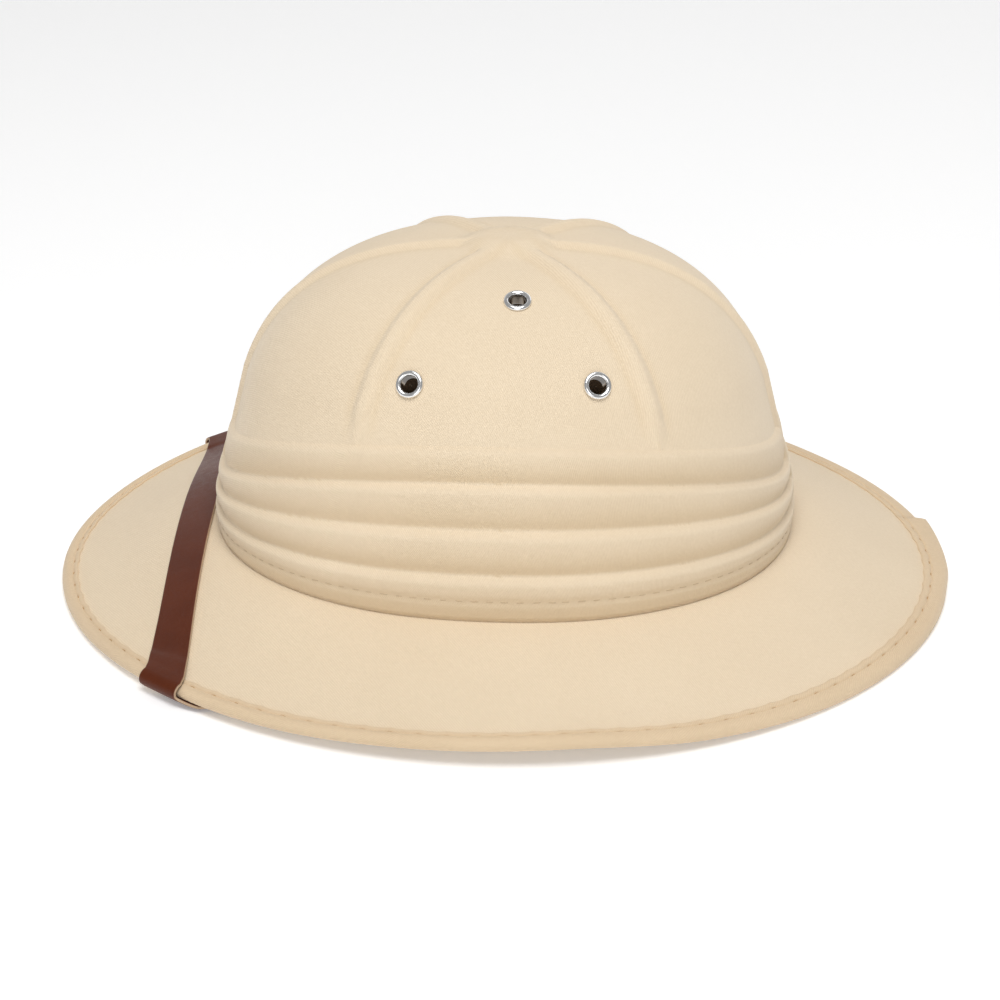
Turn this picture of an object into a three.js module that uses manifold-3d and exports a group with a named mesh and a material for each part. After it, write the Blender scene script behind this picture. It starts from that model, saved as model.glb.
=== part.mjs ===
// A moulded sun helmet: a padded cloth crown with six ribs and four soft pleats, a cloth brim with a
// bound edge, six metal eyelets and a flat chin strap that is stowed over the front of the brim.
// Units are millimetres. +Z is up, the front of the helmet points along -X, and z = 0 is the surface
// that the helmet rests on.

import * as THREE from "three";
import { mergeVertices } from "three/addons/utils/BufferGeometryUtils.js";
import Module from "manifold-3d";

const wasm = await Module();
wasm.setup();

// ---- Driving dimensions ----

const GAP = 0.3;
const CROWN_OVAL = { front: 109.5, back: 106.5, side: 90.5, fullness: 2.15 };
const RIM_OVAL = { front: 172, back: 168, side: 151, fullness: 1.96 };

const CROWN_WALL = 2.6;
const CROWN_FOOT = 25.4;
const CROWN_TOP = 133.2;
// The dome is fuller than an ellipse, and its wall leans in above the foot by a share of the radius.
const DOME_FULLNESS = 2.82;
const DOME_LEAN = { share: 0.045, from: 8, to: 42 };

const RIB_HALF_WIDTH = 4.8;
const RIB_HEIGHT = 1.9;
const RIB_RUN_OUT = 7;
const HUB_INNER = 0.12;
const HUB_OUTER = 0.165;

// Each rib's plan angle from the back of the helmet, and whether it runs down over the pleats.
const RIBS = [
  { around: 0, long: true },
  { around: 50, long: false },
  { around: 126, long: false },
  { around: 180, long: true },
  { around: 234, long: false },
  { around: 310, long: false },
];

// Height of each pleat's crease above the crown's foot, at the helmet's side, front and back.
const CREASES = [
  { side: 62, front: 35.8, back: 37.8 },
  { side: 49, front: 21, back: 23.7 },
  { side: 32.4, front: 13.4, back: 16.5 },
  { side: 16.2, front: 7, back: 8.8 },
  { side: 0, front: 0, back: 0 },
];
const PLEAT_DEPTH = 2;
const PLEAT_CREST = 0.3;
const FOOT_RELIEF = 0.6;

const BRIM_THICKNESS = 2.1;
const BRIM_S_CURVE = 0.35;
const COLLAR_HEIGHT = 9;
const COLLAR_INSET = 3.1;
const COLLAR_THICKNESS = 2;

// How far the rim stands above the resting surface, by plan angle from the back.
const RIM_RISE = [
  { around: 0, rise: 0 },
  { around: 12, rise: 0 },
  { around: 35, rise: 0.2 },
  { around: 60, rise: 2.6 },
  { around: 80, rise: 6.2 },
  { around: 100, rise: 5 },
  { around: 120, rise: 3 },
  { around: 138, rise: 2.2 },
  { around: 168, rise: 0 },
  { around: 180, rise: 0 },
];

// The binding tape in section: distance in from the rim and height over its flat underside.
const TAPE_OUTSIDE = [
  { inward: 6.2, up: 5.2 },
  { inward: 1.4, up: 4.3 },
  { inward: 0.3, up: 3.5 },
  { inward: 0, up: 2.2 },
  { inward: 0.25, up: 0.7 },
  { inward: 1, up: 0 },
  { inward: 3.6, up: 0 },
  { inward: 6.2, up: 1.05 },
];
const TAPE_INSIDE = [
  { inward: 6.2, up: 1.8 },
  { inward: 2, up: 0.9 },
  { inward: 1.4, up: 2.2 },
  { inward: 2, up: 3.7 },
  { inward: 6.2, up: 4.5 },
];
const RIM_INSET = 2.4;
const RIM_MIDDLE = 2.3;

// The tape's end laps over itself at the back and stands off the rim like a straight flap.
const LAP = { start: -5, end: 14.2, finish: 14.8, stand_off: 3.4, thickness: 0.8 };

const STRAP_WIDTH = 14.4;
const STRAP_THICKNESS = 1.4;
const STRAP_NEAR = { x: -117, y: -110.2 };
const STRAP_FAR = { x: -122.5, y: 105.4 };
const STRAP_END_X = -26;
const STRAP_CLEARANCE = 0.55;
// The oval that the strap's middle follows round the rim: its centre, half sizes and first slope.
const FOLD = { inward: 2.9, up: 2.4, width: 4.4, height: 3.6, slope: 13 };
const STRAP_LEVEL_RUN = 45;
const STRAP_SHEAR_RUN = 40;

const EYELET = { hole: 3.1, barrel: 3.6, flange: 5.1, roll: 1, inner_flange: 4.9 };
// Each eyelet's plan angle from the back and its height above the crown's foot, the same on both
// sides unless the right side has its own height.
const EYELET_PLACES = [
  { name: "top", around: 83.4, height: 102.9, right_height: 93.5 },
  { name: "front", around: 116.8, height: 79.2 },
  { name: "back", around: 61.7, height: 80 },
];

// Rows and columns of the walls: how many from rim to crown and up the dome, and degrees between ribs.
const BRIM_ROWS = { top: 6, underside: 4 };
const DOME_ROWS = { outside: 10, inside: 9 };
const PLEAT_ROWS = { outside: [1, 0.65, PLEAT_CREST, PLEAT_CREST / 2], inside: [1, PLEAT_CREST] };
const PANEL_STEP_ANGLE = 9;
const STRAP_STEPS = { top: 9, fold: 6, underside: 7 };

// ---- Small helpers ----

const radians = THREE.MathUtils.degToRad;
const degrees = THREE.MathUtils.radToDeg;
const lerp = THREE.MathUtils.lerp;
const clamp = THREE.MathUtils.clamp;

function solidFromGrid(rings) {
  // Rings of equal length, each closed on itself; the last ring joins the first, as on a torus.
  const positions = rings.flat().flatMap((point) => [point.x, point.y, point.z]);
  const faces = [];
  const count = rings[0].length;
  rings.forEach((ring, i) => {
    const next = (i + 1) % rings.length;
    ring.forEach((point, j) => {
      const after = (j + 1) % count;
      const corner = [i * count + j, next * count + j, next * count + after, i * count + after];
      faces.push(corner[0], corner[1], corner[2], corner[0], corner[2], corner[3]);
    });
  });
  return tidyGeometry(positions, faces);
}

function tidyGeometry(positions, faces) {
  const geometry = new THREE.BufferGeometry();
  geometry.setAttribute("position", new THREE.Float32BufferAttribute(positions, 3));
  geometry.setIndex(faces);
  const merged = mergeVertices(geometry, 1e-3);
  const index = merged.getIndex().array;
  const kept = [];
  for (let i = 0; i < index.length; i += 3) {
    const [a, b, c] = [index[i], index[i + 1], index[i + 2]];
    if (a !== b && b !== c && a !== c) kept.push(a, b, c);
  }
  merged.setIndex(kept);
  return outward(merged);
}

function signedVolume(geometry) {
  const position = geometry.getAttribute("position");
  const index = geometry.getIndex().array;
  const corner = [new THREE.Vector3(), new THREE.Vector3(), new THREE.Vector3()];
  let volume = 0;
  for (let i = 0; i < index.length; i += 3) {
    corner.forEach((point, k) => point.fromBufferAttribute(position, index[i + k]));
    volume += corner[0].dot(corner[1].clone().cross(corner[2])) / 6;
  }
  return volume;
}

function outward(geometry) {
  if (signedVolume(geometry) < 0) {
    const index = geometry.getIndex().array;
    for (let i = 0; i < index.length; i += 3) {
      [index[i + 1], index[i + 2]] = [index[i + 2], index[i + 1]];
    }
  }
  return geometry;
}

function toSolid(geometry) {
  const bare = geometry.clone();
  bare.deleteAttribute("normal");
  bare.deleteAttribute("uv");
  const merged = mergeVertices(bare, 1e-4);
  const vertProperties = new Float32Array(merged.getAttribute("position").array);
  const triVerts = new Uint32Array(merged.getIndex().array);
  return new wasm.Manifold(new wasm.Mesh({ numProp: 3, vertProperties, triVerts }));
}

function toGeometry(solid) {
  const mesh = solid.getMesh();
  const geometry = new THREE.BufferGeometry();
  geometry.setAttribute("position", new THREE.Float32BufferAttribute(mesh.vertProperties, 3));
  geometry.setIndex(Array.from(mesh.triVerts));
  return geometry;
}

// Plan radius of an oval at an angle from the back, with its own front and back half-lengths.
function ovalRadius(oval, angle) {
  const length = Math.cos(angle) < 0 ? oval.front : oval.back;
  const along = Math.abs(Math.cos(angle) / length) ** oval.fullness;
  const across = Math.abs(Math.sin(angle) / oval.side) ** oval.fullness;
  return (along + across) ** (-1 / oval.fullness);
}

// Smooth value of one column of a table of plan angles, mirrored from one side to the other.
function aroundTable(table, column, angle) {
  const turn = Math.abs(degrees(Math.atan2(Math.sin(angle), Math.cos(angle))));
  const last = table.length - 1;
  let row = 0;
  while (row < last - 1 && table[row + 1].around < turn) row += 1;
  const slopeAt = (k) => {
    if (k === 0 || k === last) return 0;
    const before = (table[k][column] - table[k - 1][column]) / (table[k].around - table[k - 1].around);
    const after = (table[k + 1][column] - table[k][column]) / (table[k + 1].around - table[k].around);
    return before * after <= 0 ? 0 : (2 * before * after) / (before + after);
  };
  const span = table[row + 1].around - table[row].around;
  const t = (turn - table[row].around) / span;
  const [rise, run] = [table[row + 1][column] - table[row][column], span];
  const hermite = rise * t * t * (3 - 2 * t) + slopeAt(row) * run * t * (1 - t) ** 2;
  return table[row][column] + hermite - slopeAt(row + 1) * run * t * t * (1 - t);
}

// ---- Crown ----

// 0 at the front and back tips of the crown and 1 at its sides, rounded at the tips.
function sideways(angle) {
  const across = (Math.sin(angle) * ovalRadius(CROWN_OVAL, angle)) / CROWN_OVAL.side;
  const soft = 0.3;
  return (Math.hypot(across, soft) - soft) / (Math.hypot(1, soft) - soft);
}

function creaseHeight(crease, angle) {
  const tip = Math.cos(angle) < 0 ? crease.front : crease.back;
  const across = Math.abs(Math.cos(angle));
  const blend = THREE.MathUtils.smoothstep(across, 0, 0.5);
  const middle = (crease.front + crease.back) / 2;
  return lerp(lerp(middle, tip, blend), crease.side, sideways(angle));
}

function domeLean(height) {
  return 1 - DOME_LEAN.share * THREE.MathUtils.smoothstep(height, DOME_LEAN.from, DOME_LEAN.to);
}

// How much of the foot's radius an upright dome has left at a height.
function uprightFactor(height) {
  const level = clamp(height / (CROWN_TOP - CROWN_FOOT), 0, 1);
  return (1 - level ** DOME_FULLNESS) ** (1 / DOME_FULLNESS);
}

function domeRadiusFactor(height) {
  return domeLean(height) * uprightFactor(height);
}

function domeHeight(radiusFactor) {
  const level = (1 - clamp(radiusFactor, 0, 1) ** DOME_FULLNESS) ** (1 / DOME_FULLNESS);
  return level * (CROWN_TOP - CROWN_FOOT);
}

function crownBasePoint(angle, height) {
  const radius = ovalRadius(CROWN_OVAL, angle) * domeRadiusFactor(height);
  return new THREE.Vector3(radius * Math.cos(angle), radius * Math.sin(angle), CROWN_FOOT + height);
}

// Unit normal of the plain dome under the ribs and pleats.
function crownNormal(angle, height) {
  const length = Math.cos(angle) < 0 ? CROWN_OVAL.front : CROWN_OVAL.back;
  const reach = ovalRadius(CROWN_OVAL, angle);
  const power = CROWN_OVAL.fullness - 1;
  const x = (reach * Math.cos(angle)) / length;
  const y = (reach * Math.sin(angle)) / CROWN_OVAL.side;
  const steep = uprightFactor(height) ** (DOME_FULLNESS - 1) / domeLean(height);
  const span = CROWN_TOP - CROWN_FOOT;
  const level = clamp(height / span, 0, 1);
  return new THREE.Vector3(
    (steep * Math.sign(x) * Math.abs(x) ** power) / length,
    (steep * Math.sign(y) * Math.abs(y) ** power) / CROWN_OVAL.side,
    level ** (DOME_FULLNESS - 1) / span,
  ).normalize();
}

function pleatRelief(angle, height) {
  const levels = CREASES.map((crease) => creaseHeight(crease, angle));
  if (height >= levels[0]) return 0;
  const k = Math.max(0, levels.findIndex((level) => height >= level) - 1);
  const down = clamp((levels[k] - height) / (levels[k] - levels[k + 1]), 0, 1);
  const lowest = k === levels.length - 2 ? FOOT_RELIEF : 0;
  if (down < PLEAT_CREST) return PLEAT_DEPTH * Math.sin((down / PLEAT_CREST) * (Math.PI / 2));
  const fall = (down - PLEAT_CREST) / (1 - PLEAT_CREST);
  return PLEAT_DEPTH * lerp(1, lowest, fall * fall);
}

function ribRelief(offset, rib, angle, height) {
  const top = creaseHeight(CREASES[0], angle);
  const stop = rib.long ? creaseHeight(CREASES[4], angle) + RIB_RUN_OUT : top + RIB_RUN_OUT / 2;
  const fade = THREE.MathUtils.smoothstep(height, stop - RIB_RUN_OUT / 2, stop + RIB_RUN_OUT);
  const across = clamp(1 - offset * offset, 0, 1) ** 2;
  return RIB_HEIGHT * fade * across;
}

function hubRelief(factor) {
  return RIB_HEIGHT * (1 - THREE.MathUtils.smoothstep(factor, HUB_INNER, HUB_OUTER));
}

function ribHalfAngle(angle, factor) {
  const radius = ovalRadius(CROWN_OVAL, angle) * Math.max(factor, HUB_OUTER);
  return RIB_HALF_WIDTH / radius;
}

// The crown's columns: five over each rib and the rest spread over the panel to the next rib.
function crownColumns() {
  const columns = [];
  RIBS.forEach((rib, i) => {
    const next = RIBS[(i + 1) % RIBS.length];
    const turn = (next.around - rib.around + 360) % 360;
    [-1, -0.5, 0, 0.5, 1].forEach((offset) => columns.push({ rib, next, turn, offset, panel: 0 }));
    const steps = Math.round(turn / PANEL_STEP_ANGLE);
    for (let k = 1; k < steps; k += 1) {
      columns.push({ rib, next, turn, offset: 1, panel: k / steps });
    }
  });
  return columns;
}

function columnAngle(column, factor) {
  const centre = radians(column.rib.around);
  const half = ribHalfAngle(centre, factor);
  const nextHalf = ribHalfAngle(radians(column.next.around), factor);
  const free = radians(column.turn) - half - nextHalf;
  return centre + column.offset * half + column.panel * free;
}

function crownSection(column, depth, side) {
  const points = [];
  const place = (factor, height) => {
    const angle = columnAngle(column, factor);
    const onRib = column.panel > 0 ? 1 : column.offset;
    const raised = Math.max(ribRelief(onRib, column.rib, angle, height), hubRelief(factor));
    const relief = Math.max(pleatRelief(angle, height), raised);
    const point = crownBasePoint(angle, height);
    points.push(point.addScaledVector(crownNormal(angle, height), relief - depth));
  };
  const footAngle = columnAngle(column, 1);
  const levels = CREASES.map((crease) => creaseHeight(crease, footAngle));
  for (let k = levels.length - 2; k >= 0; k -= 1) {
    PLEAT_ROWS[side].forEach((down) => {
      const angle = columnAngle(column, domeRadiusFactor(lerp(levels[k], levels[k + 1], down)));
      const [above, below] = [CREASES[k], CREASES[k + 1]].map((crease) => creaseHeight(crease, angle));
      const height = lerp(above, below, down);
      place(domeRadiusFactor(height), height);
    });
  }
  const start = domeRadiusFactor(levels[0]);
  const startTilt = Math.acos(start ** (DOME_FULLNESS / 2));
  const endTilt = Math.acos(HUB_OUTER ** (DOME_FULLNESS / 2));
  for (let k = 0; k <= DOME_ROWS[side]; k += 1) {
    const tilt = lerp(startTilt, endTilt, k / DOME_ROWS[side]);
    const factor = Math.cos(tilt) ** (2 / DOME_FULLNESS);
    place(factor, domeHeight(factor));
  }
  place(HUB_INNER, domeHeight(HUB_INNER));
  place(0, domeHeight(0));
  return points;
}

function crownGeometry() {
  const rings = crownColumns().map((column) => {
    const outside = crownSection(column, 0, "outside");
    const inside = crownSection(column, CROWN_WALL, "inside");
    inside[0].z = outside[0].z;
    return [...outside, ...inside.reverse()];
  });
  return solidFromGrid(rings);
}

// ---- Brim ----

function rimRise(angle) {
  return aroundTable(RIM_RISE, "rise", angle);
}

function collarRadius(angle) {
  return ovalRadius(CROWN_OVAL, angle) - COLLAR_INSET;
}

// Height of the brim's top cloth at a plan angle and radius.
function brimTop(angle, radius) {
  const inner = collarRadius(angle);
  const outer = ovalRadius(RIM_OVAL, angle) - RIM_INSET;
  const out = clamp((radius - inner) / (outer - inner), 0, 1.1);
  const high = CROWN_FOOT - GAP;
  const low = rimRise(angle) + RIM_MIDDLE + BRIM_THICKNESS / 2;
  const curve = 0.5 * (1 + Math.cos(Math.PI * Math.min(out, 1)));
  return low + (high - low) * lerp(1 - out, curve, BRIM_S_CURVE);
}

function polarPoint(angle, radius, z) {
  return new THREE.Vector3(radius * Math.cos(angle), radius * Math.sin(angle), z);
}

function brimGeometry() {
  // The brim shares the crown's columns at its foot, so the facets of the two run side by side.
  const rings = crownColumns().map((column) => {
    const angle = columnAngle(column, 1);
    const inner = collarRadius(angle);
    const outer = ovalRadius(RIM_OVAL, angle) - RIM_INSET;
    const top = CROWN_FOOT + COLLAR_HEIGHT;
    const ring = [polarPoint(angle, inner, top)];
    for (let k = 0; k <= BRIM_ROWS.top; k += 1) {
      const radius = lerp(inner, outer, k / BRIM_ROWS.top);
      ring.push(polarPoint(angle, radius, brimTop(angle, radius)));
    }
    for (let k = BRIM_ROWS.underside; k >= 1; k -= 1) {
      const radius = lerp(inner, outer, k / BRIM_ROWS.underside);
      ring.push(polarPoint(angle, radius, brimTop(angle, radius) - BRIM_THICKNESS));
    }
    const throat = inner - COLLAR_THICKNESS;
    ring.push(polarPoint(angle, throat, brimTop(angle, inner) - BRIM_THICKNESS));
    ring.push(polarPoint(angle, throat, top));
    return ring;
  });
  return solidFromGrid(rings);
}

// ---- Binding ----

function lapStandOff(angle) {
  const turn = degrees(Math.atan2(Math.sin(angle), Math.cos(angle)));
  if (turn <= LAP.start || turn >= LAP.finish) return 0;
  const along = clamp((turn - LAP.start) / (LAP.end - LAP.start), 0, 1);
  const drop = 1 - clamp((turn - LAP.end) / (LAP.finish - LAP.end), 0, 1);
  return drop * (LAP.thickness * Math.min(1, along * 4) + (LAP.stand_off - LAP.thickness) * along ** 2);
}

// The brim's own columns, with a few more over the lap.
function bindingAngles() {
  const full = 2 * Math.PI;
  const shared = crownColumns().map((column) => (columnAngle(column, 1) + full) % full);
  const lap = [LAP.start, 6, 10, LAP.end, LAP.finish].map((turn) => (radians(turn) + full) % full);
  const clear = shared.filter((angle) => lap.every((turn) => Math.abs(turn - angle) > radians(1)));
  return [...clear, ...lap].sort((a, b) => a - b);
}

function bindingGeometry() {
  const rings = bindingAngles().map((angle) => {
    const rim = ovalRadius(RIM_OVAL, angle);
    const floor = rimRise(angle);
    const off = lapStandOff(angle);
    const outside = TAPE_OUTSIDE.map(({ inward, up }) => {
      const stretch = 1 - clamp((inward - 1) / 3, 0, 1);
      return polarPoint(angle, rim - inward + off * stretch, floor + up);
    });
    const inside = TAPE_INSIDE.map(({ inward, up }) => polarPoint(angle, rim - inward, floor + up));
    return [...outside, ...inside];
  });
  return solidFromGrid(rings);
}

// ---- Chin strap ----

function brimNormal(x, y) {
  const step = 2;
  const heightAt = (px, py) => brimTop(Math.atan2(py, px), Math.hypot(px, py));
  const slopeX = (heightAt(x + step, y) - heightAt(x - step, y)) / (2 * step);
  const slopeY = (heightAt(x, y + step) - heightAt(x, y - step)) / (2 * step);
  return new THREE.Vector3(-slopeX, -slopeY, 1).normalize();
}

// Height of the brim or its binding at a point in plan, on top (face 1) or underneath (face -1).
function surfaceHeight(x, y, face) {
  const angle = Math.atan2(y, x);
  const radius = Math.hypot(x, y);
  const inward = ovalRadius(RIM_OVAL, angle) - radius;
  if (inward < 0) return -face * Infinity;
  const cloth = brimTop(angle, radius) - (face < 0 ? BRIM_THICKNESS : 0);
  const rows = face > 0 ? [TAPE_OUTSIDE[1], TAPE_OUTSIDE[0]] : TAPE_OUTSIDE.slice(-2);
  if (inward > rows[1].inward) return cloth;
  const along = clamp((inward - rows[0].inward) / (rows[1].inward - rows[0].inward), 0, 1);
  return rimRise(angle) + lerp(rows[0].up, rows[1].up, along);
}

// A strap station laid on the brim: just clear of it everywhere under the strap's width.
// Its slope follows the brim, or is level where level is 1, and its section slants by shear.
function laidStation(place, heading, face, level, shear) {
  const outside = brimNormal(place.x, place.y).lerp(new THREE.Vector3(0, 0, 1), level).normalize();
  outside.multiplyScalar(face);
  const ahead = heading.clone().projectOnPlane(outside).normalize();
  const side = new THREE.Vector3().crossVectors(outside, ahead).multiplyScalar(STRAP_WIDTH / 2);
  side.addScaledVector(ahead, shear);
  let height = -Infinity;
  [-1, -0.5, 0, 0.5, 1].forEach((across) => {
    [-6, -3, 0, 3, 6].forEach((run) => {
      const shift = side.clone().multiplyScalar(across).addScaledVector(ahead, run);
      const surface = surfaceHeight(place.x + shift.x, place.y + shift.y, face);
      height = Math.max(height, face * (surface - shift.z));
    });
  });
  const clear = (STRAP_CLEARANCE + STRAP_THICKNESS / 2) / Math.abs(outside.z);
  const point = new THREE.Vector3(place.x, place.y, face * (height + clear));
  return { point, outside, side };
}

// The directions along, out of and up from the sloping rim where the strap folds round it.
function foldAt(end, arriving) {
  const angle = Math.atan2(end.y, end.x);
  const step = 1e-3;
  const rimAt = (turn) => polarPoint(turn, ovalRadius(RIM_OVAL, turn), rimRise(turn));
  const along = rimAt(angle + step).sub(rimAt(angle - step)).normalize();
  const out = new THREE.Vector3(along.y, -along.x, 0).normalize();
  const up = new THREE.Vector3().crossVectors(out, along).normalize();
  const slide = arriving.dot(along);
  const reach = arriving.dot(out);
  const centre = new THREE.Vector3(end.x, end.y, rimRise(angle) + FOLD.up);
  centre.addScaledVector(arriving, -FOLD.inward / reach);
  return { along, out, up, slide, reach, centre };
}

// The strap from the middle of the front brim, out over the rim and straight back under the brim.
// Its sections turn from square to parallel with the rim, so that the fold lies flat on it.
function strapHalf(end, middle) {
  const arriving = new THREE.Vector3(end.x - middle.x, end.y - middle.y, 0).normalize();
  const fold = foldAt(end, arriving);
  const slant = ((STRAP_WIDTH / 2) * fold.slide) / fold.reach;
  const length = Math.hypot(fold.centre.x - middle.x, fold.centre.y - middle.y);
  const stations = [];
  for (let k = 0; k < STRAP_STEPS.top; k += 1) {
    const run = (length * k) / STRAP_STEPS.top;
    const place = new THREE.Vector3(middle.x, middle.y, 0).addScaledVector(arriving, run);
    const shear = slant * THREE.MathUtils.smoothstep(run, length - STRAP_SHEAR_RUN, length);
    stations.push(laidStation(place, arriving, 1, 0, shear));
  }
  return [...stations, ...foldStations(fold), ...undersideStations(fold, slant)];
}

function foldPitch({ slide, reach }) {
  return ((FOLD.width + FOLD.height) / 2) * (slide / reach);
}

// Nearly half a turn of an oval helix round the rim, from the brim's slope on top to level below.
function foldStations(fold) {
  const { along, out, up, reach, centre } = fold;
  const side = along.clone().multiplyScalar(STRAP_WIDTH / 2 / reach);
  const stations = [];
  for (let k = 0; k <= STRAP_STEPS.fold; k += 1) {
    const turn = lerp(radians(FOLD.slope), Math.PI, k / STRAP_STEPS.fold);
    const point = centre.clone().addScaledVector(along, foldPitch(fold) * turn);
    point.addScaledVector(out, FOLD.width * Math.sin(turn));
    point.addScaledVector(up, FOLD.height * Math.cos(turn));
    const outside = out.clone().multiplyScalar(Math.sin(turn) / FOLD.width);
    outside.addScaledVector(up, Math.cos(turn) / FOLD.height).normalize();
    stations.push({ point, outside, side });
  }
  return stations;
}

function undersideStations(fold, slant) {
  const { along, out, slide, reach, centre } = fold;
  const start = centre.clone().addScaledVector(along, foldPitch(fold) * Math.PI);
  const back = along.clone().multiplyScalar(slide).addScaledVector(out, -reach);
  const length = (STRAP_END_X - start.x) / back.x;
  const stations = [];
  for (let k = 1; k <= STRAP_STEPS.underside; k += 1) {
    const run = length * (k / STRAP_STEPS.underside);
    const level = 1 - THREE.MathUtils.smoothstep(run, 0, STRAP_LEVEL_RUN);
    const shear = slant * (1 - THREE.MathUtils.smoothstep(run, 0, STRAP_SHEAR_RUN));
    stations.push(laidStation(start.clone().addScaledVector(back, run), back, -1, level, shear));
  }
  return stations;
}

function strapGeometry() {
  const middle = { x: (STRAP_NEAR.x + STRAP_FAR.x) / 2, y: 0 };
  const near = strapHalf(STRAP_NEAR, middle).slice(1).reverse();
  const turned = near.map(({ point, outside, side }) => ({ point, outside, side: side.clone().negate() }));
  return bandSolid([...turned, ...strapHalf(STRAP_FAR, middle)]);
}

// A flat band through its stations, each with a half-width vector and an outward direction.
function bandSolid(stations) {
  const corners = [[1, 1], [-1, 1], [-1, -1], [1, -1]];
  const positions = stations.flatMap(({ point, outside, side }) => corners.flatMap(([across, face]) => {
    const corner = point.clone().addScaledVector(side, across);
    return corner.addScaledVector(outside, (face * STRAP_THICKNESS) / 2).toArray();
  }));
  const last = stations.length - 1;
  const faces = [0, 2, 1, 0, 3, 2];
  for (let i = 0; i < last; i += 1) {
    for (let j = 0; j < 4; j += 1) {
      const after = (j + 1) % 4;
      const [a, b, c, d] = [i * 4 + j, i * 4 + after, (i + 1) * 4 + after, (i + 1) * 4 + j];
      faces.push(a, b, c, a, c, d);
    }
  }
  const end = last * 4;
  faces.push(end, end + 1, end + 2, end, end + 2, end + 3);
  return tidyGeometry(positions, faces);
}

// ---- Eyelets ----

function eyeletGeometry() {
  const { hole, barrel, flange, roll, inner_flange } = EYELET;
  const below = -(CROWN_WALL + 1.1);
  const profile = [
    [hole, below - 0.6],
    [hole, GAP + roll * 0.5],
    [hole + 0.5, GAP + roll],
    [flange - 0.5, GAP + roll * 0.8],
    [flange, GAP],
    [barrel, GAP],
    [barrel, below],
    [inner_flange, below],
    [inner_flange, below - 0.6],
    [hole, below - 0.6],
  ].map(([radius, height]) => new THREE.Vector2(radius, height));
  const lathe = new THREE.LatheGeometry(profile, 12);
  lathe.rotateX(Math.PI / 2);
  lathe.deleteAttribute("normal");
  lathe.deleteAttribute("uv");
  return outward(mergeVertices(lathe, 1e-3));
}

function eyeletPlacement(place, side) {
  const angle = radians(place.around) * side;
  const height = side > 0 && place.right_height ? place.right_height : place.height;
  const position = crownBasePoint(angle, height);
  const normal = crownNormal(angle, height);
  const turn = new THREE.Quaternion().setFromUnitVectors(new THREE.Vector3(0, 0, 1), normal);
  return { position, turn };
}

function eyeletHoleCutter({ position, turn }) {
  const length = 4 * CROWN_WALL;
  const cutter = new THREE.CylinderGeometry(EYELET.barrel + GAP, EYELET.barrel + GAP, length, 16);
  cutter.rotateX(Math.PI / 2);
  cutter.applyQuaternion(turn);
  cutter.translate(position.x, position.y, position.z);
  return toSolid(cutter);
}

// ---- Assembly ----

const finishes = {
  cloth: { color: 0xead6b4, roughness: 0.9, metalness: 0 },
  tape: { color: 0xe0c8a2, roughness: 0.9, metalness: 0 },
  strap: { color: 0x5e3321, roughness: 0.4, metalness: 0 },
  metal: { color: 0xd0d0d0, roughness: 0.2, metalness: 1 },
};

const helmet = new THREE.Group();

function addPart(name, geometry, finish) {
  const mesh = new THREE.Mesh(geometry, new THREE.MeshStandardMaterial(finishes[finish]));
  mesh.name = name;
  helmet.add(mesh);
  return mesh;
}

const placements = [-1, 1].flatMap((side) => EYELET_PLACES.map((place) => ({
  name: `eyelet_${side < 0 ? "left" : "right"}_${place.name}`,
  ...eyeletPlacement(place, side),
})));

const crown = placements.reduce(
  (solid, placement) => solid.subtract(eyeletHoleCutter(placement)),
  toSolid(crownGeometry()),
);
addPart("crown", toGeometry(crown), "cloth");
addPart("brim", brimGeometry(), "cloth");
addPart("brim_binding", bindingGeometry(), "tape");
addPart("chin_strap", strapGeometry(), "strap");
placements.forEach(({ name, position, turn }) => {
  const eyelet = addPart(name, eyeletGeometry(), "metal");
  eyelet.position.copy(position);
  eyelet.quaternion.copy(turn);
});

export default helmet;
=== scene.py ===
# %% [markdown]
# # A cloth-covered sun helmet
# The imported model gives every piece its place and size. This notebook gives each piece its look: finer
# cloth surfaces over the imported solids, stitches, a leather strap, polished eyelets, and the finishes.
# The frame is loaded first, and its box is kept.

# %% Load the frame
import math

import bmesh
import bpy
import numpy as np
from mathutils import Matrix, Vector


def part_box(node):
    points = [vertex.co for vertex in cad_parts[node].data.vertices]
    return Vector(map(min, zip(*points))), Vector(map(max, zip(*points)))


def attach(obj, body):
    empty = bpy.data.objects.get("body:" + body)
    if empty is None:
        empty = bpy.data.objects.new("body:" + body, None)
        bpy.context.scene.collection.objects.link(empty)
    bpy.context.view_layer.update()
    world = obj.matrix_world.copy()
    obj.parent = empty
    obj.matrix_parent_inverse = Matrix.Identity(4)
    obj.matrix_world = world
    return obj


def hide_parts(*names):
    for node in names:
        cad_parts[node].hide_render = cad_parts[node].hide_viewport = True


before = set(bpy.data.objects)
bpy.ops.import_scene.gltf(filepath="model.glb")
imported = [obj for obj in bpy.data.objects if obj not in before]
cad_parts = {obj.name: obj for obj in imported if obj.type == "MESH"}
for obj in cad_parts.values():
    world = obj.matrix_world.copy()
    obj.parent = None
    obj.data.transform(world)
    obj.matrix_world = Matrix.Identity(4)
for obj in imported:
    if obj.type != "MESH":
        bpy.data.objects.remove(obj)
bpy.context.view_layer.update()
MM = 0.001

# %% [markdown]
# ## Sizes
# All shapes below are worked out in millimetres from a few driving sizes and turned into metres when a
# mesh is made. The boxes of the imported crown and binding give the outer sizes, so the cloth surfaces
# land on the solids that they stand for. A helmet's plan is an oval with its own front and back halves.

# %% Driving sizes, in millimetres
crown_low, crown_high = (np.array(corner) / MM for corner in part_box("crown"))
tape_low, _ = (np.array(corner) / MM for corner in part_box("brim_binding"))

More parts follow.
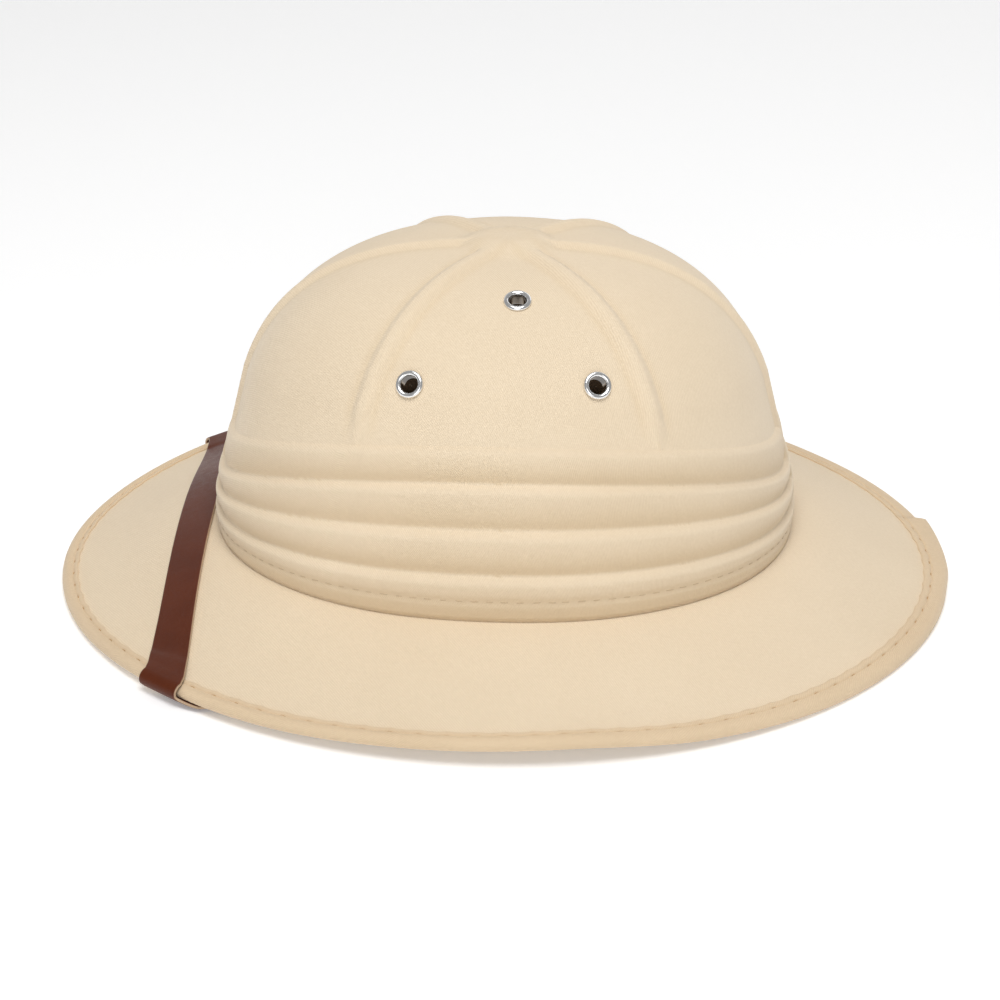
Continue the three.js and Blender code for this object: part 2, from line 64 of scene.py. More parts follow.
RIB_HEIGHT = 1.9
RIB_HALF_WIDTH = 4.8
PLEAT_DEPTH = 2.1
SEAM_SHARE = 0.44
SEAM_DENT = 0.55
CREASE_DENT = 0.3
DENT_WIDTH = 0.9
PLEAT_CREST = 0.22
FOOT_RELIEF = 0.6
CLOTH_WAVE = 0.18
# Painted shade beside each rib: share of the darkening, width of its band in mm, and its climb above the top
# crease in mm.
RIB_SHADE = dict(share=0.45, width=1.6, climb=6)
CROWN_WALL = 2.6
CROWN_FOOT = crown_low[2]
CROWN_TOP = crown_high[2] - RIB_HEIGHT
CROWN_OVAL = dict(front=109.5, back=106.5, side=90.5, fullness=2.15)
RIM_BACK_SHORTER = 4.0
RIM_OVAL = dict(front=-tape_low[0], back=-tape_low[0] - RIM_BACK_SHORTER, side=151.0, fullness=1.96)
DOME_FULLNESS = 2.82
DOME_LEAN = dict(share=0.045, low=8.0, high=42.0)
BOSS_HEIGHT = 3.6
HUB_INNER, HUB_OUTER = 0.09, 0.18
RIBS = [(0, True), (50, False), (126, False), (180, True), (234, False), (310, False)]
CREASES = dict(
    side=np.array([62, 49, 32.4, 16.2, 0]),
    front=np.array([35.8, 21, 13.4, 7, 0]),
    back=np.array([37.8, 23.7, 16.5, 8.8, 0]),
)
print("crown foot and top:", CROWN_FOOT, CROWN_TOP, "rim oval:", RIM_OVAL)

# %% [markdown]
# ## Helpers for surfaces
# Every piece is a grid of points: a function of two parameters, computed as whole arrays. A grid that
# closes on itself one way is a tube, and both ways a torus. The grid also writes a UV map in metres of
# cloth, so that a weave can follow the surface.

# %% Grid to mesh
def smoothstep(value, low, high):
    """0 below low, 1 above high, and 3t^2 - 2t^3 between, with t the fraction of the way."""
    t = np.clip((value - low) / (high - low), 0, 1)
    return t * t * (3 - 2 * t)


def grid_faces(rows, columns, close_rows, close_columns):
    """Quads of a grid whose point (i, j) has the index i * columns + j."""
    i, j = np.meshgrid(
        np.arange(rows if close_rows else rows - 1),
        np.arange(columns if close_columns else columns - 1), indexing="ij")
    i2, j2 = (i + 1) % rows, (j + 1) % columns
    quads = np.stack([i * columns + j, i2 * columns + j, i2 * columns + j2, i * columns + j2], -1)
    return quads.reshape(-1, 4)


def make_mesh(name, points, faces, uv=None, attributes=None):
    """One object at the origin: points in millimetres, faces as index rows, uv per point in metres."""
    mesh = bpy.data.meshes.new(name)
    points = np.asarray(points, dtype=np.float64).reshape(-1, 3) * MM
    faces = np.asarray(faces)
    mesh.vertices.add(len(points))
    mesh.vertices.foreach_set("co", points.astype(np.float32).ravel())
    mesh.loops.add(faces.size)
    mesh.loops.foreach_set("vertex_index", faces.astype(np.int32).ravel())
    mesh.polygons.add(len(faces))
    mesh.polygons.foreach_set("loop_start", np.arange(0, faces.size, faces.shape[1], dtype=np.int32))
    mesh.polygons.foreach_set("use_smooth", np.ones(len(faces), dtype=bool))
    if uv is not None:
        layer = mesh.uv_layers.new(name="cloth")
        layer.data.foreach_set("uv", np.asarray(uv, dtype=np.float32).reshape(-1, 2)[faces.ravel()].ravel())
    for key, values in (attributes or {}).items():
        data = mesh.attributes.new(key, "FLOAT", "POINT").data
        data.foreach_set("value", np.asarray(values, dtype=np.float32).ravel())
    mesh.update(calc_edges=True)
    mesh.validate()
    piece = bpy.data.objects.new(name, mesh)
    bpy.context.scene.collection.objects.link(piece)
    print(f"{name}: {len(points)} points, {len(faces)} faces")
    return piece


def finish_piece(piece, material, nodes=()):
    """Ride on the helmet's body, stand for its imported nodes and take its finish."""
    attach(piece, "root")
    if nodes:
        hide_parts(*nodes)
    piece.data.materials.clear()
    piece.data.materials.append(material)
    return piece

# %% [markdown]
# ## The oval and the dome
# In plan the crown is a full oval: the radius at an angle is where the sum of two powers comes to one.
# The dome's outline is a power curve as well, a little fuller than a circle. Working with the angle and
# the height keeps every feature, such as a rib or a crease, a simple rule.

# %% Oval and dome
def oval_radius(oval, angle):
    """Radius of |cos/length|^n + |sin/side|^n = 1/radius^n, the length being front or back."""
    length = np.where(np.cos(angle) < 0, oval["front"], oval["back"])
    n = oval["fullness"]
    return (np.abs(np.cos(angle) / length) ** n + np.abs(np.sin(angle) / oval["side"]) ** n) ** (-1 / n)


def dome_lean(height):
    """1 at the foot, and a little less above the lower pleats, where the wall has leant in."""
    return 1 - DOME_LEAN["share"] * smoothstep(height, DOME_LEAN["low"], DOME_LEAN["high"])


def upright_factor(height):
    """How much of the foot's radius an upright dome has left at a height: (1 - level^n)^(1/n)."""
    level = np.clip(height / (CROWN_TOP - CROWN_FOOT), 0, 1)
    return (1 - level ** DOME_FULLNESS) ** (1 / DOME_FULLNESS)


def dome_factor(height):
    """The real dome's share of the foot's radius: the upright dome, leaning in."""
    return dome_lean(height) * upright_factor(height)


def dome_height(factor):
    """The height where the dome has shrunk to this factor of its foot."""
    level = (1 - np.clip(factor, 0, 1) ** DOME_FULLNESS) ** (1 / DOME_FULLNESS)
    return level * (CROWN_TOP - CROWN_FOOT)


def dome_point(angle, factor, height):
    """A point of the plain dome, before ribs and pleats are raised on it."""
    radius = oval_radius(CROWN_OVAL, angle) * factor
    return np.stack([radius * np.cos(angle), radius * np.sin(angle), CROWN_FOOT + height], -1)


def dome_normal(angle, height):
    """Outward normal of the plain dome: the slope of its power law along each axis."""
    length = np.where(np.cos(angle) < 0, CROWN_OVAL["front"], CROWN_OVAL["back"])
    reach = oval_radius(CROWN_OVAL, angle)
    x, y = reach * np.cos(angle) / length, reach * np.sin(angle) / CROWN_OVAL["side"]
    power = CROWN_OVAL["fullness"] - 1
    steep = upright_factor(height) ** (DOME_FULLNESS - 1) / dome_lean(height)
    span = CROWN_TOP - CROWN_FOOT
    level = np.clip(height / span, 0, 1) ** (DOME_FULLNESS - 1)
    normal = np.stack([
        steep * np.sign(x) * np.abs(x) ** power / length,
        steep * np.sign(y) * np.abs(y) ** power / CROWN_OVAL["side"],
        level / span], -1)
    return normal / np.linalg.norm(normal, axis=-1, keepdims=True)


def sideways(angle):
    """0 at the crown's front and back tips, 1 at its sides, rounded at the tips."""
    across = np.sin(angle) * oval_radius(CROWN_OVAL, angle) / CROWN_OVAL["side"]
    soft = 0.3
    return (np.hypot(across, soft) - soft) / (np.hypot(1, soft) - soft)


def crease_heights(angle):
    """Heights of the five pleat lines over the foot, one row each: tip and side values blended."""
    blend = smoothstep(np.abs(np.cos(angle)), 0, 0.5)
    middle = (CREASES["front"] + CREASES["back"]) / 2
    tip = np.where(np.cos(angle)[..., None] < 0, CREASES["front"], CREASES["back"])
    tip = middle + (tip - middle) * blend[..., None]
    return tip + (CREASES["side"] - tip) * sideways(angle)[..., None]

print("oval radius at the side:", oval_radius(CROWN_OVAL, np.array(math.pi / 2)))

# %% [markdown]
# ## Ribs, pleats and boss
# On the real helmet a heated form presses ribs, pleats and a round boss into padded cloth. Here each is
# a relief: a height to add along the dome's normal. A pleat comes out quickly below its crease, like a
# rounded ledge, and falls back slowly to the next crease. A rib is a soft bump across its line.

# %% Relief
def pleat_relief(angle, height):
    """Quarter sine out from each crease, then a slow quadratic fall to the next one."""
    levels = crease_heights(angle)
    relief = np.zeros_like(height)
    for k in range(4):
        above, below = levels[..., k], levels[..., k + 1]
        down = np.clip((above - height) / (above - below), 0, 1)
        lowest = FOOT_RELIEF if k == 3 else 0.0
        out = np.sin(np.clip(down / PLEAT_CREST, 0, 1) * math.pi / 2)
        fall = np.clip((down - PLEAT_CREST) / (1 - PLEAT_CREST), 0, 1)
        here = PLEAT_DEPTH * out * (1 + (lowest - 1) * fall ** 2)
        relief = np.where((height <= above) & (height >= below), here, relief)
    for k in range(4):
        above = height - levels[..., k]
        dent = CREASE_DENT * (above / DENT_WIDTH) * np.exp(1 - above / DENT_WIDTH)
        relief = relief - np.where(above > 0, dent, 0)
    seam = (height - SEAM_SHARE * levels[..., 3]) / DENT_WIDTH
    return relief - SEAM_DENT * np.exp(-seam ** 2)


def painted_fold_shade_share(angle, height):
    """Share of painted shade at a point: it grows down each pleat towards the next crease and beside each
    rib.
    """
    levels = crease_heights(angle)
    painted_shade_share = np.zeros_like(height)
    for k in range(4):
        above, below = levels[..., k], levels[..., k + 1]
        down = np.clip((above - height) / (above - below), 0, 1)
        painted_shade_share = np.where((height <= above) & (height >= below), smoothstep(down, 0.15, 0.95), painted_shade_share)
    radius = oval_radius(CROWN_OVAL, angle) * np.maximum(dome_factor(height), 0.02)
    for around, _ in RIBS:
        beside = np.abs(np.angle(np.exp(1j * (angle - math.radians(around))))) * radius
        band = np.exp(-((beside - RIB_HALF_WIDTH) / RIB_SHADE["width"]) ** 2)
        climb = smoothstep(height, levels[..., 0], levels[..., 0] + RIB_SHADE["climb"])
        painted_shade_share = np.maximum(painted_shade_share, RIB_SHADE["share"] * band * climb)
    return painted_shade_share


def rib_relief(angle, factor, height):
    """The highest of the six ribs: a smooth step down from its ridge, closing to a round lower end."""
    top = crease_heights(angle)[..., 0]
    radius = oval_radius(CROWN_OVAL, angle) * np.maximum(factor, 0.02)
    relief = np.zeros_like(height)
    for around, long_rib in RIBS:
        turn = np.angle(np.exp(1j * (angle - math.radians(around))))
        stop = 7.0 if long_rib else top
        fade = smoothstep(height, stop - 1.0, stop + 3.0)
        narrow = 1.0 if long_rib else np.sqrt(np.clip((height - top + 1.5) / 9, 0.05, 1))
        offset = np.abs(turn) * radius / (RIB_HALF_WIDTH * narrow)
        relief = np.maximum(relief, RIB_HEIGHT * fade * (1 - smoothstep(offset, 0.12, 0.95)))
    return relief


def crown_relief(angle, factor, height):
    """Ribs, boss and pleats together, with a slight unevenness of the pressed cloth."""
    boss = BOSS_HEIGHT * (1 - smoothstep(factor, HUB_INNER, HUB_OUTER))
    raised = np.maximum(rib_relief(angle, factor, height), boss)
    wave = np.sin(3 * angle + height / 19) * np.sin(5 * angle - height / 27 + 1)
    return np.maximum(pleat_relief(angle, height), raised) + CLOTH_WAVE * wave * smoothstep(factor, 0.1, 0.4)

# %% [markdown]
# ## Camera
# The camera is set first, so that every later step can be looked at. It stands at the wearer's left,
# a little above the brim, and looks slightly down on the helmet, resting on its brim.

# %% Camera
CAMERA_DISTANCE = 1.100
CAMERA_RISE = math.radians(25.8)
CAMERA_TURN = math.radians(2.87)
CAMERA_AIM = np.array([-3.4, 0, 28.4]) * MM


def turned(vector, angle):
    """A vector turned about the vertical: the camera's frame is turned slightly from the helmet's."""
    c, s = math.cos(angle), math.sin(angle)
    return np.array([vector[0] * c - vector[1] * s, vector[0] * s + vector[1] * c, vector[2]])


back_off = np.array([0, -math.cos(CAMERA_RISE), math.sin(CAMERA_RISE)]) * CAMERA_DISTANCE
camera_data = bpy.data.cameras.new("camera")
camera_data.sensor_width = 36
camera_data.lens = 103.4
camera = bpy.data.objects.new("camera", camera_data)
camera.location = turned(CAMERA_AIM + back_off, CAMERA_TURN)
camera.rotation_euler = (math.pi / 2 - CAMERA_RISE, 0, CAMERA_TURN)
bpy.context.scene.collection.objects.link(camera)
bpy.context.scene.camera = camera
print("camera at", tuple(camera.location))

# %% [markdown]
# ## Material helpers
# A procedural finish is a small graph of nodes. These helpers keep each graph readable: one adds a
# node, one joins two sockets, and one mixes a colour by a factor.

# %% Node helpers
class Graph:
    """A material's nodes, with short names for adding and joining them."""

    def __init__(self, name):
        self.material = bpy.data.materials.new(name)
        self.material.use_nodes = True
        self.tree = self.material.node_tree
        self.tree.nodes.clear()
        self.output = self.add("ShaderNodeOutputMaterial")
        self.shader = self.add("ShaderNodeBsdfPrincipled")
        self.join(self.shader, "BSDF", self.output, "Surface")

    def add(self, kind, **settings):
        """A new node of a kind, with its settings."""
        node = self.tree.nodes.new(kind)
        for key, value in settings.items():
            setattr(node, key, value)
        return node

    def join(self, source, out, target, into):
        """A link from one node's output to another's input."""
        self.tree.links.new(source.outputs[out], target.inputs[into])

    def feed(self, name, source):
        """Drive one of the shader's inputs from a (node, output) pair."""
        self.join(source[0], source[1], self.shader, name)

    def values(self, table):
        """Give the shader's inputs fixed values, by name."""
        for name, value in table.items():
            self.shader.inputs[name].default_value = value

    def place(self):
        """Object coordinates, as a (node, output) pair."""
        return (self.add("ShaderNodeTexCoord"), "Object")

    def mark(self, name):
        """A mesh's own point values of this name, as a (node, output) pair."""
        return (self.add("ShaderNodeAttribute", attribute_name=name), "Fac")

    def math(self, operation, first, second=None, third=None):
        """A Math node; each input is a number or a (node, output) pair."""
        node = self.add("ShaderNodeMath", operation=operation)
        for index, value in enumerate((first, second, third)):
            if isinstance(value, tuple):
                self.tree.links.new(value[0].outputs[value[1]], node.inputs[index])
            elif value is not None:
                node.inputs[index].default_value = value
        return (node, 0)

    def mix(self, factor, first, second):
        """A colour between first and second, each a colour or a (node, output) pair."""
        node = self.add("ShaderNodeMix", data_type="RGBA")
        for index, value in ((0, factor), (6, first), (7, second)):
            if isinstance(value, tuple) and hasattr(value[0], "outputs"):
                self.tree.links.new(value[0].outputs[value[1]], node.inputs[index])
            elif index == 0:
                node.inputs[index].default_value = value
            else:
                node.inputs[index].default_value = (*value, 1)
        return (node, 2)

    def noise(self, vector, scale, detail=2.0):
        """Soft noise with features about 1 / scale of a metre."""
        node = self.add("ShaderNodeTexNoise")
        node.inputs["Scale"].default_value = scale
        node.inputs["Detail"].default_value = detail
        self.tree.links.new(vector[0].outputs[vector[1]], node.inputs["Vector"])
        return (node, 0)

    def bump(self, height, distance, strength=1.0, onto=None):
        """A bump from a 0 to 1 height whose full step is distance metres."""
        node = self.add("ShaderNodeBump")
        node.inputs["Distance"].default_value = distance
        node.inputs["Strength"].default_value = strength
        self.tree.links.new(height[0].outputs[height[1]], node.inputs["Height"])
        if onto is not None:
            self.tree.links.new(onto[0].outputs[onto[1]], node.inputs["Normal"])
        return (node, 0)

# %% [markdown]
# ## Twill cloth
# The cover is a fine cream cotton twill: parallel slanting ridges about three quarters of a millimetre
# apart, each ridge broken by the threads that cross it. Sine waves of the cloth's own UV coordinates
# give ridges and threads, and soft noise gives the slubs and the faint cloudiness of the dye. Sheen
# gives the pale fuzz of cotton seen at a slant.

# %% Cloth material
def cloth_material(name, light, dark, pitch, slant, ridge_depth):
    """Twill of a light and a darker yarn colour, its ridges pitch metres apart at a slant."""
    g = Graph(name)
    uv = (g.add("ShaderNodeUVMap", uv_map="cloth"), "UV")
    split = g.add("ShaderNodeSeparateXYZ")
    g.tree.links.new(uv[0].outputs["UV"], split.inputs[0])
    across = g.math("MULTIPLY", (split, 0), math.cos(slant) / pitch)
    ridge_line = g.math("MULTIPLY_ADD", (split, 1), math.sin(slant) / pitch, across)
    wander = g.noise(uv, 260, 2)
    ridge_place = g.math("MULTIPLY_ADD", wander, 0.9, ridge_line)
    ridge = g.math("MULTIPLY_ADD", g.math("SINE", g.math("MULTIPLY", ridge_place, 2 * math.pi)), 0.5, 0.5)
    thread_u = g.math("SINE", g.math("MULTIPLY", (split, 0), 2 * math.pi / (pitch * 0.62)))
    thread_v = g.math("SINE", g.math("MULTIPLY", (split, 1), 2 * math.pi / (pitch * 0.62)))
    threads = g.math("MULTIPLY_ADD", g.math("MULTIPLY", thread_u, thread_v), 0.25, 0.5)
    weave = g.math("MULTIPLY_ADD", threads, 0.4, g.math("MULTIPLY", ridge, 0.6))
    place = g.place()
    slub = g.noise(place, 900, 3)
    cloud = g.noise(place, 22, 3)
    tone = g.math("MULTIPLY_ADD", slub, 0.5, g.math("MULTIPLY", weave, 0.55))
    tone = g.math("MULTIPLY_ADD", cloud, 0.35, g.math("SUBTRACT", tone, 0.17))
    yarn = g.mix(tone, dark, light)
    # Painted shade: the colour is multiplied darker down the crown's pleats and beside its ribs.
    painted_fold_shade = g.mark("painted_fold_shade")
    inside = g.mark("inside")
    painted_shade_mix = g.add("ShaderNodeMix", data_type="RGBA", blend_type="MULTIPLY")
    g.tree.links.new(painted_fold_shade[0].outputs["Fac"], painted_shade_mix.inputs[0])
    g.tree.links.new(yarn[0].outputs[yarn[1]], painted_shade_mix.inputs[6])
    painted_shade_mix.inputs[7].default_value = (0.93, 0.90, 0.84, 1)
    # Painted shade: the crown's inner face takes a dark brown so that the eyelet holes show dark.
    colour = g.mix(inside, (painted_shade_mix, 2), (0.16, 0.11, 0.07))
    g.feed("Base Color", colour)
    rough = g.math("MULTIPLY_ADD", slub, 0.12, 0.82)
    g.feed("Roughness", rough)
    coarse = g.bump(slub, 0.00012, 0.5)
    normal = g.bump(weave, ridge_depth, 0.7, coarse)
    g.feed("Normal", normal)
    g.values({
        "Sheen Weight": 0.25,
        "Sheen Roughness": 0.45,
        "Specular IOR Level": 0.25,
    })
    return g.material


CREAM_LIGHT, CREAM_DARK = (0.89, 0.75, 0.565), (0.72, 0.575, 0.395)
helmet_cloth = cloth_material("helmet_twill", CREAM_LIGHT, CREAM_DARK, 0.00078, math.radians(35), 0.00016)
tape_cloth = cloth_material(
    "binding_twill", (0.83, 0.66, 0.455), (0.64, 0.475, 0.30), 0.0007, math.radians(50), 0.00016)
print("cloth materials:", helmet_cloth.name, tape_cloth.name)

# %% [markdown]
# ## Crown
# The crown is one closed shell: an outer face with the full relief, a foot edge, and a plainer inner
# face. Rows of points crowd together at each crease, where the cloth turns sharply. The eyelet holes
# are cut afterwards with a boolean, as a punch would cut them.

# %% Crown surface
CROWN_COLUMNS = 640
PLEAT_BEND = 0.3
near_steps = np.linspace(0, PLEAT_BEND, 9)[:-1] ** 1.25 * PLEAT_BEND ** -0.25
far_steps = np.linspace(PLEAT_BEND, 1, 11)[:-1]
PLEAT_STEPS = np.concatenate([near_steps, far_steps])
DOME_STEPS = 52


def crown_rows(angle):
    """Heights of the outer face's rows, foot first, for every column: pleats, then the dome."""
    levels = crease_heights(angle)
    rows = []
    for k in (3, 2, 1, 0):
        for down in PLEAT_STEPS[::-1]:
            rows.append(levels[:, k] + (levels[:, k + 1] - levels[:, k]) * down)
    rows.insert(0, levels[:, 4])
    start = np.arccos(dome_factor(levels[:, 0]) ** (DOME_FULLNESS / 2))
    for step in np.linspace(0, 1, DOME_STEPS)[1:]:
        tilt = start + (math.pi / 2 - start) * step
        rows.append(dome_height(np.cos(tilt) ** (2 / DOME_FULLNESS)))
    return np.array(rows)


def crown_surface(heights, angle, depth):
    """Dome points moved along the normal by relief less depth, for a grid of heights."""
    angle = np.broadcast_to(angle, heights.shape)
    factor = dome_factor(heights)
    relief = crown_relief(angle, factor, heights) - depth
    return dome_point(angle, factor, heights) + dome_normal(angle, heights) * relief[..., None]


def dome_cloth_uv(points):
    """Cloth coordinates in metres: the distance up the surface from the pole, laid out by angle."""
    step = np.linalg.norm(np.diff(points, axis=0), axis=-1)
    climb = np.concatenate([np.zeros((1, points.shape[1])), np.cumsum(step, axis=0)])
    away = climb[-1] - climb
    turn = np.arctan2(points[..., 1], points[..., 0])
    turn[-1] = turn[-2]
    return np.stack([away * np.cos(turn), away * np.sin(turn)], -1) * MM


def crowded_columns(count):
    """Plan angles that crowd together at the ribs: equal steps of a running total of density."""
    even = np.linspace(0, 360, 7200, endpoint=False)
    density = np.ones_like(even)
    for around, _ in RIBS:
        apart = (even - around + 180) % 360 - 180
        density += 2.2 * np.exp(-(apart / 6) ** 2)
    total = np.concatenate([[0], np.cumsum(density)])
    stops = np.arange(count) / count * total[-1]
    return np.radians(np.interp(stops, total, np.append(even, 360)))


columns = crowded_columns(CROWN_COLUMNS)
outer_heights = crown_rows(columns)
outer_face = crown_surface(outer_heights, columns, 0)
# Every seventh row is enough inside, with the foot and the pole kept.
inner_heights = outer_heights[np.r_[0, 3:80:7, 84:len(outer_heights):7, len(outer_heights) - 1]]
inner_face = crown_surface(inner_heights, columns, CROWN_WALL)
inner_face[0, :, 2] = CROWN_FOOT
print("crown rows outside and inside:", len(outer_face), len(inner_face))

# %% [markdown]
# The top row of each face is a single point, the pole. It is written once and joined with triangles, so
# the shell has no needle-thin quads that would spoil its shading.

# %% Crown mesh
def close_shell(name, outer, inner, uv_outer, uv_inner, painted_shade_share):
    """Two domed grids, joined at the foot and each closed by one pole, as one mesh of triangles."""
    rows_out, count = outer.shape[0] - 1, outer.shape[1]
    rows_in = inner.shape[0] - 1
    points = np.concatenate([inner[:-1][::-1].reshape(-1, 3), outer[:-1].reshape(-1, 3),
                             inner[-1, :1], outer[-1, :1]])
    uv = np.concatenate([uv_inner[:-1][::-1].reshape(-1, 2), uv_outer[:-1].reshape(-1, 2),
                         np.zeros((2, 2))])
    quads = grid_faces(rows_in + rows_out, count, False, True)[:, ::-1]
    triangles = np.concatenate([quads[:, [0, 1, 2]], quads[:, [0, 2, 3]]])
    ring = np.arange(count)
    after = (ring + 1) % count
    last = (rows_in + rows_out - 1) * count
    pole_in, pole_out = (rows_in + rows_out) * count, (rows_in + rows_out) * count + 1
    cap_in = np.stack([ring, after, np.full(count, pole_in)], -1)[:, ::-1]
    cap_out = np.stack([last + ring, last + after, np.full(count, pole_out)], -1)
    # Painted shade: the inner face is marked to take a dark brown, which keeps the eyelet holes dark.
    painted_dark_inside = np.zeros(len(points))
    painted_dark_inside[:rows_in * count] = 1
    painted_dark_inside[-2] = 1
    # Painted shade on the outer face: darker down each pleat and beside each rib.
    shade = np.zeros(len(points))
    shade[rows_in * count:-2] = painted_shade_share[:-1].ravel()
    marks = dict(inside=painted_dark_inside, painted_fold_shade=shade)
    return make_mesh(name, points, np.concatenate([triangles, cap_in, cap_out]), uv, marks)


FOOT_DROP = 1.0
outer_face[0, :, 2] -= FOOT_DROP
# The crown cloth takes painted shade down its pleats and beside its ribs.
crown_cloth = close_shell("crown_cloth", outer_face, inner_face,
                          dome_cloth_uv(outer_face), dome_cloth_uv(inner_face),
                          painted_fold_shade_share(np.broadcast_to(columns, outer_heights.shape), outer_heights))

# %% [markdown]
# ## Eyelets
# Each vent eyelet is a turned shape: a rolled rim outside, a barrel through the wall and a pressed
# flange inside. Its profile is a short list of radius and height, smoothed by a curve through rounded
# rolls, and spun about the dome's normal at its place. The same places punch the holes in the crown.

# %% Eyelet shape
EYELET_PLACES = dict(top=(83.4, 102.1), front=(115.4, 79.6), back=(62.6, 80.0))
RIGHT_TOP_HEIGHT = 93.5
HOLE_SLACK = 0.15
EYELET = dict(hole=3.1, barrel=3.55, rim=5.1, roll=1.0)


def eyelet_frame(around, height, side):
    """Origin and three axes of an eyelet: the dome point, two tangents and the normal."""
    angle = np.array(math.radians(around) * side)
    factor = dome_factor(np.array(height))
    origin = dome_point(angle, factor, np.array(height))
    normal = dome_normal(angle, np.array(height))
    tangent = np.cross([0, 0, 1.0], normal)
    tangent /= np.linalg.norm(tangent)
    return origin, tangent, np.cross(normal, tangent), normal


def arc(centre, radius, start, stop, count):
    """Points of an arc in the radius-height plane, from start to stop degrees; radius may be a pair."""
    turn = np.radians(np.linspace(start, stop, count))
    wide, tall = np.broadcast_to(radius, 2)
    return np.stack([centre[0] + wide * np.cos(turn), centre[1] + tall * np.sin(turn)], -1)


def eyelet_profile():
    """The closed section: rolled rim, barrel bore, inner flange and back up the barrel's outside."""
    rim_middle = (EYELET["hole"] + EYELET["rim"]) / 2
    rim_half = (EYELET["rim"] - EYELET["hole"]) / 2
    roll = arc((rim_middle, 0.25), (rim_half, EYELET["roll"]), 0, 180, 15)
    low = -(CROWN_WALL + 1.1)
    flange = arc((4.0, low - 0.3), (0.9, 0.3), 180, 360, 9)
    barrel = np.array([[EYELET["hole"], -1.0], [EYELET["hole"], low]])
    outside = np.array([[EYELET["barrel"], low], [EYELET["barrel"], -0.05], [EYELET["rim"] - 0.3, -0.05]])
    return np.concatenate([roll, barrel, flange, outside])


def spin(profile, frame_axes, count):
    """Turn a section of radius and height about an eyelet's normal."""
    origin, tangent, other, normal = frame_axes
    turn = np.linspace(0, 2 * math.pi, count, endpoint=False)[:, None, None]
    radius, height = profile[None, :, :1], profile[None, :, 1:]
    return origin + radius * (np.cos(turn) * tangent + np.sin(turn) * other) + height * normal


def punch_holes(piece, frames):
    """Cut one round hole through the crown at each eyelet, then bake the cut into its mesh."""
    wide = EYELET["barrel"] + HOLE_SLACK
    profile = np.array([[0.01, 8], [wide, 8], [wide, -10], [0.01, -10]])
    points, faces, offset = [], [], 0
    for axes in frames:
        grid = spin(profile, axes, 48)
        points.append(grid.reshape(-1, 3))
        faces.append(grid_faces(48, 4, True, True) + offset)
        offset += 48 * 4
    cutter = make_mesh("hole_cutter", np.concatenate(points), np.concatenate(faces)[:, ::-1])
    cut = piece.modifiers.new("holes", "BOOLEAN")
    cut.operation = "DIFFERENCE"
    cut.solver = "EXACT"
    cut.object = cutter
    graph = bpy.context.evaluated_depsgraph_get()
    baked = bpy.data.meshes.new_from_object(piece.evaluated_get(graph))
    piece.modifiers.clear()
    piece.data = baked
    baked.name = piece.name
    bpy.data.objects.remove(cutter)
    print("crown after punching:", len(baked.polygons), "faces")

# %% [markdown]
# ## Polished metal
# The eyelets are nickel-plated brass: a full metal with a low roughness, a faint haze from handling and
# a trace of fine scratches in the bump.

# %% Metal and the six eyelets
def metal_material():
    """Bright plated metal with slightly uneven gloss."""
    g = Graph("nickel_plate")
    place = g.place()
    haze = g.noise(place, 700, 3)
    rough = g.math("MULTIPLY_ADD", haze, 0.12, 0.10)
    g.feed("Roughness", rough)
    colour = g.mix(haze, (0.80, 0.79, 0.78), (0.93, 0.93, 0.93))
    g.feed("Base Color", colour)
    normal = g.bump(g.noise(place, 3000, 2), 0.00001, 0.4)
    g.feed("Normal", normal)
    g.values({"Metallic": 1.0})
    return g.material


nickel = metal_material()
eyelet_frames = []
for side, side_name in ((-1, "left"), (1, "right")):
    for place_name, (around, height) in EYELET_PLACES.items():
        low_vent = side > 0 and place_name == "top"
        axes = eyelet_frame(around, RIGHT_TOP_HEIGHT if low_vent else height, side)
        eyelet_frames.append(axes)
        section = eyelet_profile()
        grid = spin(section, axes, 40)
        eyelet = make_mesh(f"rim_{side_name}_{place_name}", grid,
                           grid_faces(40, len(section), True, True)[:, ::-1])
        finish_piece(eyelet, nickel, [f"eyelet_{side_name}_{place_name}"])
punch_holes(crown_cloth, eyelet_frames)
finish_piece(crown_cloth, helmet_cloth, ["crown"])

# %% [markdown]
# ## Brim
# The brim slopes from the crown to the rim in a gentle S and rises at the sides. Its top, edge, underside
# and the collar that stands up inside the crown are one closed section, carried round the oval. The rise
# of the rim is a short table of plan angles, joined smoothly.

# %% Rim and brim rules
RIM_RISE = np.array([(0, 0), (12, 0), (35, 0.2), (60, 2.6), (80, 6.2), (100, 5.0), (120, 3.0),
                     (138, 2.2), (168, 0), (180, 0)], dtype=float)
COLLAR_INSET, COLLAR_HEIGHT, COLLAR_THICKNESS = 3.1, 9.0, 2.0
BRIM_THICKNESS, BRIM_S_CURVE, RIM_INSET, RIM_MIDDLE = 2.1, 0.35, 2.4, 2.3
GAP = 0.3


def table_slopes(table):
    """Slopes at the rows: the harmonic mean of the slopes on both sides, and 0 at a turn."""
    step = np.diff(table[:, 1]) / np.diff(table[:, 0])
    both = step[:-1] * step[1:]
    mean = 2 * both / np.where(step[:-1] + step[1:] == 0, 1, step[:-1] + step[1:])
    return np.concatenate([[0], np.where(both > 0, mean, 0), [0]])


